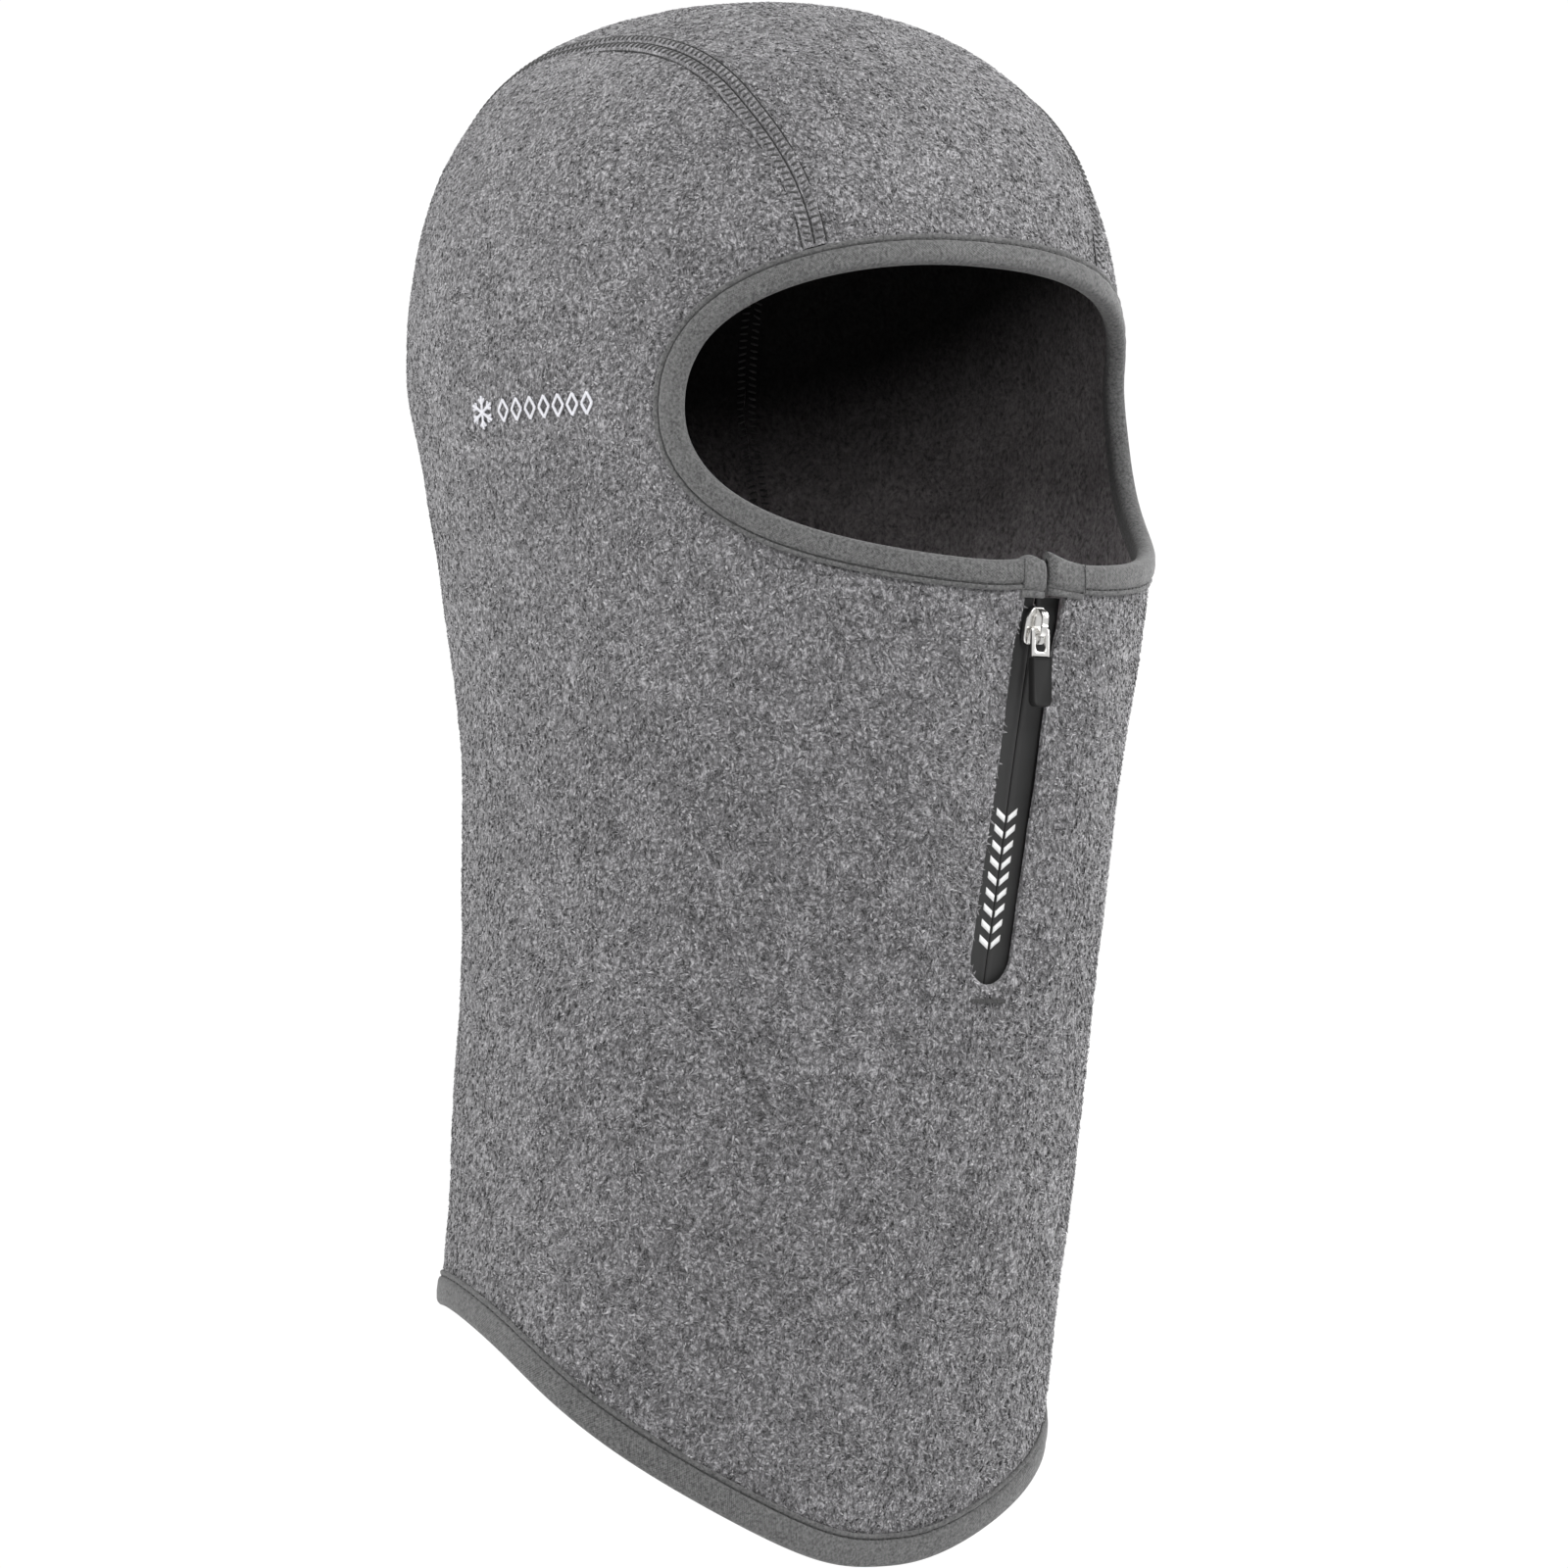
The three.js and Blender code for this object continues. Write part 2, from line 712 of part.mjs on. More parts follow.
// The pull hangs plumb from its bar, so its group undoes the zip's tilt.
const barRoom = 0.4;
const pull = new THREE.Group();
pull.position.set(0, plateFront - bridgeSpace / 2, barRadius + barRoom + bridgePost - bridgeLength / 2);
pull.rotation.x = -zipTilt;
slider.add(pull);

function pullLink() {
  const frame = plate(
    roundedOutline(linkWidth, -linkLength, barRadius, barRadius),
    -linkThickness / 2,
    linkThickness,
  );
  const window = plate(roundedOutline(linkEye, -linkEyeEnd, -barRadius, 0.6), -2, 4);
  return cut(frame, window);
}

function pullGrip() {
  const top = -linkLength - fit;
  const outline = roundedOutline(gripWidth, top - gripLength, top, 1.6);
  return plate(outline, -gripThickness / 2, gripThickness);
}

add("pull_link", pullLink(), nickel, pull);
add("pull_grip", pullGrip(), gripRubber, pull);

export default hood;
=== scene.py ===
# %% [markdown]
# # A fleece balaclava with a short chin zip
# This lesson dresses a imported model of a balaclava. The model fixes where every
# part lies and what moves: the slider runs down the zip, the pull swings on it,
# and the two halves of the collar fall open behind it.
# We load it first, because every cloth piece is placed against its bodies.

# %% Load the frame
import math

import bmesh
import bpy
import numpy as np
from mathutils import Matrix, Vector


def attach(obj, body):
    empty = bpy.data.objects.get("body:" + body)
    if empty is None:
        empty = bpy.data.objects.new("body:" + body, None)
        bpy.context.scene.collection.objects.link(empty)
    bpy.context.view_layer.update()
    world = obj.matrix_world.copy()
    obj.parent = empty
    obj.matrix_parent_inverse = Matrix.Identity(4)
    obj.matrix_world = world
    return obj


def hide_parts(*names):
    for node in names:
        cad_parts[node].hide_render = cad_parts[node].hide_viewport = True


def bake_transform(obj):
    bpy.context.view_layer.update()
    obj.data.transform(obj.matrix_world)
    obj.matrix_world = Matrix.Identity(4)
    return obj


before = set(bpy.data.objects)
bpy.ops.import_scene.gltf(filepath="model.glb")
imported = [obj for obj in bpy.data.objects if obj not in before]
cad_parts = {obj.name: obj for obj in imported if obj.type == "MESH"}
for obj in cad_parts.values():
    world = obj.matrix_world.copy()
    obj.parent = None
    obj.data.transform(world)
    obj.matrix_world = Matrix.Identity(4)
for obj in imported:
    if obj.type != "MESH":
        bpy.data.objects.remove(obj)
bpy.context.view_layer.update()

# %% [markdown]
# ## The worn shape
# A hood has no straight edge to measure from. What it has is a skin: the outside
# of the cloth once it is on a head. Here it is a superellipse at each level, whose
# half width, front reach and back reach come from a short table, closed by a dome.
# A point of it is found from an angle round the head and a level, so a flat grid
# can be laid on it just as cloth is laid on a form. Lengths are in millimetres
# while we draft, and turn into metres when a mesh is made.

# %% The skin of the hood
MM = 0.001
WIDEST_Z, CROWN_RISE, ROUNDNESS, CROWN_SCALE = -95.0, 97.5, 2.4, 95.0
HALF_WIDTH, FRONT, BACK = 1, 2, 3
GIRTHS = np.array([
    [-95, 90, 96, 82], [-125, 87, 113, 75], [-155, 82, 117, 70],
    [-190, 77, 112, 68], [-230, 76, 103, 67], [-270, 77, 93, 68],
    [-315, 79, 80, 71], [-360, 81, 66, 75], [-415, 82, 50, 79]], float)


def through(rows, at, column):
    """The smooth curve through a table's rows, level in their first column."""
    rows = np.asarray(rows, float)
    sign = -1.0 if rows[1, 0] < rows[0, 0] else 1.0
    x, y = rows[:, 0] * sign, rows[:, column]
    at = np.asarray(at, float) * sign
    slope = np.zeros(len(x))
    slope[1:-1] = (y[2:] - y[:-2]) / (x[2:] - x[:-2])
    slope[-1] = (y[-1] - y[-2]) / (x[-1] - x[-2])
    i = np.searchsorted(x[1:-1], at, side="left")
    span = x[i + 1] - x[i]
    t = np.maximum(0, (at - x[i]) / span)
    return (y[i] * (2 * t**3 - 3 * t**2 + 1) + slope[i] * span * (t**3 - 2 * t**2 + t)
            + y[i + 1] * (3 * t**2 - 2 * t**3) + slope[i + 1] * span * (t**3 - t**2))


def reach_of(z, column):
    return through(GIRTHS, np.minimum(z, WIDEST_Z), column)


def z_of(level):
    """The height of a level. Levels run evenly over the dome, where heights crowd."""
    level = np.asarray(level, float)
    turn = np.clip((level - WIDEST_Z) / CROWN_SCALE, 0, math.pi / 2)
    dome = WIDEST_Z + CROWN_RISE * np.sin(turn) ** (2 / ROUNDNESS)
    return np.where(level <= WIDEST_Z, level, dome)


def rise_of(z):
    return np.clip((np.asarray(z, float) - WIDEST_Z) / CROWN_RISE, 0, 1)


def scale_of(z):
    return np.maximum(1 - rise_of(z) ** ROUNDNESS, 1e-9) ** (1 / ROUNDNESS)


def level_of(z):
    turn = np.arcsin(np.minimum(rise_of(z) ** (ROUNDNESS / 2), 1))
    return np.where(np.asarray(z) <= WIDEST_Z, z, WIDEST_Z + CROWN_SCALE * turn)


def skin(angle, z):
    """A point of the skin: angle from the front towards the wearer's right, and height."""
    angle, z = np.broadcast_arrays(np.asarray(angle, float), np.asarray(z, float))
    s, c = np.sin(angle), np.cos(angle)
    depth = np.where(c > 0, reach_of(z, FRONT), reach_of(z, BACK))
    inverse = (np.abs(s) / reach_of(z, HALF_WIDTH)) ** ROUNDNESS
    inverse = inverse + (np.abs(c) / depth) ** ROUNDNESS
    radius = scale_of(z) * inverse ** (-1 / ROUNDNESS)
    return np.stack([-radius * s, -radius * c, z], -1)


def angle_of(p):
    return np.arctan2(-p[..., 0], -p[..., 1])


def onto_skin(p):
    return skin(angle_of(p), p[..., 2])


def skin_value(p):
    x, y, z = p[..., 0], p[..., 1], p[..., 2]
    k = np.maximum((z - WIDEST_Z) / CROWN_RISE, 0)
    depth = np.where(y < 0, reach_of(z, FRONT), reach_of(z, BACK))
    return ((np.abs(x) / reach_of(z, HALF_WIDTH)) ** ROUNDNESS
            + (np.abs(y) / depth) ** ROUNDNESS + k**ROUNDNESS)


def unit(v):
    return v / np.maximum(np.linalg.norm(v, axis=-1, keepdims=True), 1e-12)


def outward(p):
    steps = np.eye(3) * 0.01
    return unit(np.stack([skin_value(p + d) - skin_value(p - d) for d in steps], -1))


def raised(p, height):
    return p + outward(p) * np.asarray(height, float)[..., None]


print("girth at the brow, mm:", round(float(np.linalg.norm(np.diff(
    skin(np.linspace(0, 2 * math.pi, 361), WIDEST_Z), axis=0), axis=1).sum())))

# %% [markdown]
# ## The cut edges
# Two edges set the look of the garment: the rounded face opening and the hem that
# dips towards the chest. Both are closed lines on the skin. `inset` walks from such
# an edge into the cloth by a distance, and that one helper later carries every
# binding and every row of stitches that runs beside an edge.

# %% Edges of the pattern
FACE_HALF_ANGLE, FACE_CENTRE_Z = math.radians(50), -112.0
FACE_RISE, FACE_DROP, FACE_UPPER, FACE_LOWER = 38.0, 40.0, 2.3, 2.15
HEM_BACK_Z, HEM_DIP, HEM_ANGLE, HEM_POWER = -343.0, 67.0, math.radians(120), 1.22
CLOTH_INSET, FLEECE = 1.8, 2.2
SEAM_GAP = 0.3
CROWN_STRIP = [[0, 49], [0.12, 55], [0.5, 56], [1, 48]]


def face_edge(t):
    """The face opening: t is 0 at the brow, a half turn at the chin."""
    up = np.cos(t) > 0
    power = 2 / np.where(up, FACE_UPPER, FACE_LOWER)
    angle = FACE_HALF_ANGLE * np.sign(np.sin(t)) * np.abs(np.sin(t)) ** power
    height = np.where(up, FACE_RISE, FACE_DROP)
    return skin(angle, FACE_CENTRE_Z + height * np.sign(np.cos(t)) * np.abs(np.cos(t)) ** power)


def hem_edge(angle):
    turned = np.abs(np.arctan2(np.sin(angle), np.cos(angle)))
    turn = np.minimum(turned / HEM_ANGLE, 1) ** HEM_POWER
    return skin(angle, HEM_BACK_Z - HEM_DIP / 2 * (1 + np.cos(turn * math.pi)))


def inset(edge, t, distance):
    """The point of the skin that lies so far from an edge, into the cloth."""
    t = np.asarray(t, float)
    along = unit(edge(t + 0.004) - edge(t - 0.004))
    here = edge(t)
    into = np.cross(along, outward(here))
    return onto_skin(here + into * np.asarray(distance, float)[..., None])


crown_top = WIDEST_Z + CROWN_SCALE * math.pi / 2
brow_level = float(level_of(inset(face_edge, 0.0, CLOTH_INSET)[2]))
nape_level = HEM_BACK_Z + CLOTH_INSET
front_run = crown_top - brow_level
whole_run = front_run + crown_top - nape_level


def strip_point(run, x):
    """A point of the crown strip: how far along the middle line, and how far off it."""
    run, x = np.broadcast_arrays(np.asarray(run, float), np.asarray(x, float))
    forward = run < front_run
    z = z_of(np.where(forward, brow_level + run, crown_top - (run - front_run)))
    reach = np.where(forward, -reach_of(z, FRONT), reach_of(z, BACK)) * scale_of(z)
    share = np.minimum(np.abs(x) / reach_of(z, HALF_WIDTH), 1)
    shrink = (1 - share**ROUNDNESS) ** (1 / ROUNDNESS)
    dropped = np.where(z > WIDEST_Z, WIDEST_Z + (z - WIDEST_Z) * shrink, z)
    return np.stack([x, reach * shrink, dropped], -1)


def strip_width(share):
    return through(CROWN_STRIP, share, 1)


def brow_run(x):
    """How far along the strip the face edge lies at a distance from the middle."""
    x = np.abs(np.asarray(x, float))
    low, high = np.zeros_like(x), np.full_like(x, math.pi / 2)
    for _ in range(40):
        middle = (low + high) / 2
        short = -inset(face_edge, middle, CLOTH_INSET)[..., 0] < x
        low, high = np.where(short, middle, low), np.where(short, high, middle)
    edge = inset(face_edge, low, CLOTH_INSET)
    share = x / reach_of(edge[..., 2], HALF_WIDTH)
    shrink = (1 - share**ROUNDNESS) ** (1 / ROUNDNESS)
    return level_of(WIDEST_Z + (edge[..., 2] - WIDEST_Z) / shrink) - brow_level, low


BROW_X = np.linspace(0, 60, 121)
BROW_RUN, BROW_TURN = brow_run(BROW_X)


def strip_at(share, across, beyond=0.0):
    """A point of the strip: share of its length, share of its half width plus a bit."""
    share, across = np.broadcast_arrays(np.asarray(share, float), np.asarray(across, float))
    edge_x = np.abs(across) * strip_width(0) + beyond
    start = np.interp(edge_x, BROW_X, BROW_RUN)
    x = across * strip_width(share) + np.sign(across) * beyond
    return strip_point(start + share * (whole_run - start), x)


seam_turn = float(np.interp(strip_width(0), BROW_X, BROW_TURN))
seam_angle = float(angle_of(strip_at(1, -1, SEAM_GAP / 2)))
print("crown strip runs", round(whole_run), "mm from brow to nape")

# %% [markdown]
# ## Meshes from a flat grid
# Cloth begins flat, so each soft piece begins as `bmesh.ops.create_grid`, and every
# vertex of the grid is then carried to its place on the skin. Joining the first and
# last column closes a tube, and filling the two end loops closes a bar. The grid's
# own UV map is rewritten in metres of cloth, so that a knit keeps its scale.

# %% Helpers that make pieces
def piece_from(bm, name, materials, smooth=True):
    """A finished object from a bmesh, at the origin."""
    mesh = bpy.data.meshes.new(name)
    bm.to_mesh(mesh)
    bm.free()
    for material in materials:
        mesh.materials.append(material)
    mesh.polygons.foreach_set("use_smooth", [smooth] * len(mesh.polygons))
    obj = bpy.data.objects.new(name, mesh)
    bpy.context.scene.collection.objects.link(obj)
    return obj


def grid_bmesh(place, columns, rows, cloth=(1, 1), join=False, cap=False):
    """A grid carried to place(u, v), in millimetres; u and v run from 0 to 1. cloth is
    the grid's flat width and length, for its UV map."""
    bm = bmesh.new()
    uv = bm.loops.layers.uv.new("cloth")
    bmesh.ops.create_grid(bm, x_segments=columns, y_segments=rows, size=0.5, calc_uvs=True)
    for f in bm.faces:
        for loop in f.loops:
            share = loop[uv].uv
            loop[uv].uv = (share.x * cloth[0] * MM, share.y * cloth[1] * MM)
    flat = np.array([v.co[:2] for v in bm.verts]) + 0.5
    points = place(flat[:, 0], flat[:, 1]) * MM
    for v, p in zip(bm.verts, points):
        v.co = p
    if join:
        bmesh.ops.remove_doubles(bm, verts=bm.verts, dist=1e-6)
    if cap:
        open_edges = [e for e in bm.edges if e.is_boundary]
        bmesh.ops.holes_fill(bm, edges=open_edges, sides=0)
        for e in open_edges:
            e.smooth = False
    bmesh.ops.recalc_face_normals(bm, faces=bm.faces)
    return bm


def carried(name, place, columns, rows, materials, cloth=(1, 1), join=False, cap=False):
    return piece_from(grid_bmesh(place, columns, rows, cloth, join, cap), name, materials)


def mirrored(obj, name):
    """The other hand of a piece: the same mesh, mirrored in x and turned outwards."""
    bm = bmesh.new()
    bm.from_mesh(obj.data)
    bmesh.ops.scale(bm, vec=(-1, 1, 1), verts=bm.verts)
    bmesh.ops.reverse_faces(bm, faces=bm.faces)
    return piece_from(bm, name, list(obj.data.materials))


def stamped(name, base, frames, materials, tones=None):
    """Copies of one small bmesh at many 4 x 4 placements, as one mesh."""
    base.verts.index_update()
    corners = np.array([v.co for v in base.verts])
    faces = [[v.index for v in f.verts] for f in base.faces]
    base.free()
    frames = np.asarray(frames, float)
    moved = np.einsum("nij,kj->nki", frames[:, :3, :3], corners) + frames[:, None, :3, 3]
    count = len(corners)
    every = [[i + k * count for i in face] for k in range(len(frames)) for face in faces]
    mesh = bpy.data.meshes.new(name)
    mesh.from_pydata((moved * MM).reshape(-1, 3).tolist(), [], every)
    if tones is not None:
        layer = mesh.attributes.new("tone", "FLOAT", "POINT")
        layer.data.foreach_set("value", np.repeat(tones, count).astype(np.float32))
    for material in materials:
        mesh.materials.append(material)
    mesh.polygons.foreach_set("use_smooth", [True] * len(mesh.polygons))
    obj = bpy.data.objects.new(name, mesh)
    bpy.context.scene.collection.objects.link(obj)
    return obj


def frames_at(origins, x_axes, y_axes, z_axes):
    """Placement matrices from origins and three axes, all as rows of vectors."""
    made = np.tile(np.eye(4), (len(origins), 1, 1))
    made[:, :3, 0], made[:, :3, 1] = x_axes, y_axes
    made[:, :3, 2], made[:, :3, 3] = z_axes, origins
    return made


def smoothstep(low, high, value):
    t = np.clip((value - low) / (high - low), 0, 1)
    return t * t * (3 - 2 * t)


# %% [markdown]
# ## Finishes
# Brushed fleece is many short fibres of several greys spun together, so up close
# it is heathered: small streaks, darker and lighter, that lie in drifts. One node
# group makes that pattern from Object coordinates, which fits every panel and runs
# unbroken across the seams. It gives a colour and a height; the shader itself stays
# in each material, where its sheen is a plain constant.

# %% A few words for building node trees
def group(name, inputs, outputs):
    """A shader node group with named sockets: (name, type, default)."""
    tree = bpy.data.node_groups.new(name, "ShaderNodeTree")
    for label, kind, value in inputs:
        socket = tree.interface.new_socket(label, in_out="INPUT", socket_type="NodeSocket" + kind)
        socket.default_value = value
    for label, kind in outputs:
        tree.interface.new_socket(label, in_out="OUTPUT", socket_type="NodeSocket" + kind)
    tree.nodes.new("NodeGroupInput")
    tree.nodes.new("NodeGroupOutput")
    return tree


def node(tree, kind, values=(), links=(), **settings):
    """One node with its settings, its socket values and its incoming links."""
    made = tree.nodes.new("ShaderNode" + kind)
    for key, value in settings.items():
        setattr(made, key, value)
    for key, value in dict(values).items():
        made.inputs[key].default_value = value
    for key, source in dict(links).items():
        tree.links.new(source, made.inputs[key])
    return made


def ends(tree):
    find = {n.bl_idname: n for n in tree.nodes}
    return find["NodeGroupInput"].outputs, find["NodeGroupOutput"].inputs


def math_node(tree, operation, a, b=None, c=None, clamp=False):
    made = tree.nodes.new("ShaderNodeMath")
    made.operation, made.use_clamp = operation, clamp
    for i, value in enumerate((a, b, c)):
        if value is None:
            continue
        if isinstance(value, (int, float)):
            made.inputs[i].default_value = value
        else:
            tree.links.new(value, made.inputs[i])
    return made.outputs[0]


def mix_colour(tree, share, a, b, blend="MIX"):
    made = tree.nodes.new("ShaderNodeMix")
    made.data_type, made.blend_type = "RGBA", blend
    for i, value in ((0, share), (6, a), (7, b)):
        if hasattr(value, "is_linked"):
            tree.links.new(value, made.inputs[i])
        else:
            made.inputs[i].default_value = value
    return made.outputs[2]


def grey(value, tint=(1.0, 1.0, 1.0)):
    """An 8-bit grey as a linear colour, with a slight tint."""
    v = value / 255
    linear = v / 12.92 if v <= 0.04045 else ((v + 0.055) / 1.055) ** 2.4
    return (linear * tint[0], linear * tint[1], linear * tint[2], 1.0)


# %% The heather group
heather = group("Heather", [
    ("Dark", "Color", grey(70)), ("Middle", "Color", grey(122)), ("Light", "Color", grey(176)),
    ("Streak Size", "Float", 0.9), ("Drift", "Float", 0.35), ("Tone", "Float", 0.5)],
    [("Color", "Color"), ("Height", "Float"), ("Mask", "Float")])
inside, out = ends(heather)
coords = node(heather, "TexCoord").outputs["Object"]
swirl = node(heather, "TexNoise", {"Scale": 60.0, "Detail": 2.0}, {"Vector": coords})
swirl_off = node(heather, "VectorMath", {1: (0.5, 0.5, 0.5)}, {0: swirl.outputs["Color"]},
                 operation="SUBTRACT")
swirl_scaled = node(heather, "VectorMath", {"Scale": 0.006}, {0: swirl_off.outputs[0]},
                    operation="SCALE")
bent = node(heather, "VectorMath", {}, {0: coords, 1: swirl_scaled.outputs[0]}, operation="ADD")
stretch = node(heather, "Mapping", {"Scale": (1.0, 1.0, 0.85)}, {"Vector": bent.outputs[0]})
streak_scale = math_node(heather, "DIVIDE", 1000.0, inside["Streak Size"])
fine_scale = math_node(heather, "MULTIPLY", streak_scale, 2.1)
streaks = node(heather, "TexNoise", {"Detail": 3.0, "Roughness": 0.62},
               {"Vector": stretch.outputs[0], "Scale": streak_scale})
fibres = node(heather, "TexNoise", {"Detail": 2.0, "Roughness": 0.6},
              {"Vector": stretch.outputs[0], "Scale": fine_scale})
drifts = node(heather, "TexNoise", {"Scale": 85.0, "Detail": 3.0, "Roughness": 0.55},
              {"Vector": coords})
drift_part = math_node(heather, "MULTIPLY", math_node(
    heather, "SUBTRACT", drifts.outputs["Fac"], 0.5), inside["Drift"])
streak_part = math_node(heather, "MULTIPLY", math_node(
    heather, "SUBTRACT", streaks.outputs["Fac"], 0.5), 1.9)
fibre_part = math_node(heather, "MULTIPLY", math_node(
    heather, "SUBTRACT", fibres.outputs["Fac"], 0.5), 1.1)
total = math_node(heather, "ADD", math_node(heather, "ADD", streak_part, fibre_part),
                  math_node(heather, "ADD", drift_part, inside["Tone"]), clamp=True)
low_half = math_node(heather, "MULTIPLY", total, 2.0, clamp=True)
high_half = math_node(heather, "MULTIPLY_ADD", total, 2.0, -1.0, clamp=True)
lower = mix_colour(heather, low_half, inside["Dark"], inside["Middle"])
heather.links.new(mix_colour(heather, high_half, lower, inside["Light"]), out["Color"])
heather.links.new(math_node(heather, "ADD", math_node(heather, "MULTIPLY", streaks.outputs["Fac"], 0.7),
                            math_node(heather, "MULTIPLY", fibres.outputs["Fac"], 0.3)), out["Height"])
heather.links.new(total, out["Mask"])
print("groups:", [g.name for g in bpy.data.node_groups])

# %% [markdown]
# The binding is an elastic knit and the threads are twisted, and both are a fine
# regular relief along and across the piece. The knit group crosses two waves read
# from the piece's own UV map, which is laid out in metres of cloth. A third group
# gives the worn, speckled look that film, rubber and metal share.

# %% The knit and wear groups
knit = group("Knit", [
    ("Ground", "Color", grey(96)), ("Raised", "Color", grey(124)),
    ("Wale Size", "Float", 0.55), ("Heather", "Float", 0.35)],
    [("Color", "Color"), ("Height", "Float")])
inside, out = ends(knit)
uv_map = node(knit, "UVMap", uv_map="cloth")
wale_scale = math_node(knit, "DIVIDE", 1000.0, inside["Wale Size"])
split = node(knit, "SeparateXYZ", {}, {"Vector": uv_map.outputs["UV"]})
along = math_node(knit, "SINE", math_node(knit, "MULTIPLY", split.outputs["X"],
                                          math_node(knit, "MULTIPLY", wale_scale, 6.283)))
across = math_node(knit, "SINE", math_node(knit, "MULTIPLY", split.outputs["Y"],
                                           math_node(knit, "MULTIPLY", wale_scale, 9.4)))
loops = math_node(knit, "MULTIPLY_ADD", math_node(knit, "MULTIPLY", along, across), 0.5, 0.5)
object_at = node(knit, "TexCoord").outputs["Object"]
yarn = node(knit, "TexNoise", {"Scale": 1300.0, "Detail": 3.0, "Roughness": 0.65},
            {"Vector": object_at})
cloud = node(knit, "TexNoise", {"Scale": 55.0, "Detail": 2.0}, {"Vector": object_at})
speckle = math_node(knit, "MULTIPLY", math_node(knit, "SUBTRACT", yarn.outputs["Fac"], 0.5),
                    math_node(knit, "MULTIPLY", inside["Heather"], 3.0))
cloudy = math_node(knit, "MULTIPLY", math_node(knit, "SUBTRACT", cloud.outputs["Fac"], 0.5), 0.15)
# The loop wave that raises the knit also darkens it between the loops: painted shade in its grooves.
# The yarn speckle and the cloud are the yarn's own heather.
shade = math_node(knit, "ADD", math_node(knit, "MULTIPLY_ADD", loops, 0.35, 0.35),
                  math_node(knit, "ADD", speckle, cloudy), clamp=True)
knit.links.new(mix_colour(knit, shade, inside["Ground"], inside["Raised"]), out["Color"])
knit.links.new(math_node(knit, "ADD", loops, math_node(knit, "MULTIPLY", yarn.outputs["Fac"], 0.5)),
               out["Height"])

wear = group("Wear", [
    ("Clean", "Color", grey(40)), ("Worn", "Color", grey(62)), ("Grain Size", "Float", 0.4),
    ("Edge", "Float", 0.5), ("Clean Roughness", "Float", 0.4), ("Worn Roughness", "Float", 0.6)],
    [("Color", "Color"), ("Roughness", "Float"), ("Height", "Float")])
inside, out = ends(wear)
object_at = node(wear, "TexCoord").outputs["Object"]
grain_scale = math_node(wear, "DIVIDE", 1000.0, inside["Grain Size"])
grain = node(wear, "TexNoise", {"Detail": 4.0, "Roughness": 0.6},
             {"Vector": object_at, "Scale": grain_scale})
smudge = node(wear, "TexNoise", {"Scale": 210.0, "Detail": 3.0}, {"Vector": object_at})
pointed = node(wear, "NewGeometry").outputs["Pointiness"]
edges = math_node(wear, "MULTIPLY", math_node(wear, "SUBTRACT", pointed, 0.5), 9.0, clamp=True)
edge_part = math_node(wear, "MULTIPLY", edges, inside["Edge"])
smudge_part = math_node(wear, "MULTIPLY_ADD", smudge.outputs["Fac"], 0.9, -0.28, clamp=True)
worn = math_node(wear, "ADD", math_node(wear, "MULTIPLY", smudge_part, 0.5), edge_part, clamp=True)
wear.links.new(mix_colour(wear, worn, inside["Clean"], inside["Worn"]), out["Color"])
spread = math_node(wear, "SUBTRACT", inside["Worn Roughness"], inside["Clean Roughness"])
wear.links.new(math_node(wear, "MULTIPLY_ADD", math_node(wear, "ADD", smudge_part, math_node(
    wear, "MULTIPLY", grain.outputs["Fac"], 0.35), clamp=True), spread, inside["Clean Roughness"]),
    out["Roughness"])
wear.links.new(grain.outputs["Fac"], out["Height"])

# %% [markdown]
# Each finish is now a short recipe: which group, its colours, and the constants of
# the shader. The fleece comes in two versions, for the brushed outside and for the
# flatter inside that faces the head, whose colour is darkened under the crown by painted shade.

# %% Materials
def material(name, tree, values, roughness=0.8, bump=(0.3, 0.3), metallic=0.0, **shader):
    """A material whose shader is fed by one of the groups. bump is (strength, mm)."""
    made = bpy.data.materials.new(name)
    made.use_nodes = True
    nodes = made.node_tree
    bsdf = next(n for n in nodes.nodes if n.bl_idname == "ShaderNodeBsdfPrincipled")
    bsdf.inputs["Roughness"].default_value = roughness
    bsdf.inputs["Metallic"].default_value = metallic
    for key, value in shader.items():
        bsdf.inputs[key.replace("_", " ")].default_value = value
    pattern = nodes.nodes.new("ShaderNodeGroup")
    pattern.node_tree = tree
    for key, value in values.items():
        pattern.inputs[key].default_value = value
    nodes.links.new(pattern.outputs["Color"], bsdf.inputs["Base Color"])
    if "Roughness" in pattern.outputs:
        nodes.links.new(pattern.outputs["Roughness"], bsdf.inputs["Roughness"])
    relief = nodes.nodes.new("ShaderNodeBump")
    relief.inputs["Strength"].default_value, relief.inputs["Distance"].default_value = (
        bump[0], bump[1] * MM)
    nodes.links.new(pattern.outputs["Height"], relief.inputs["Height"])
    nodes.links.new(relief.outputs["Normal"], bsdf.inputs["Normal"])
    return made


LILAC = (1.0, 0.985, 1.02)
fleece = material("fleece_outside", heather, {
    "Dark": grey(50, LILAC), "Middle": grey(119, LILAC), "Light": grey(194, LILAC),
    "Streak Size": 1.1, "Drift": 0.32, "Tone": 0.48},
    roughness=1.0, bump=(0.9, 0.9), Sheen_Weight=0.35, Sheen_Roughness=0.5,
    Specular_IOR_Level=0.1)
fleece_inside = material("fleece_inside", heather, {
    "Dark": grey(104, (1.05, 0.98, 1.0)), "Middle": grey(160, (1.05, 0.98, 1.0)),
    "Light": grey(200, (1.04, 0.98, 1.0)), "Streak Size": 1.4, "Drift": 0.6, "Tone": 0.46},
    roughness=1.0, bump=(0.6, 0.6), Specular_IOR_Level=0.1)
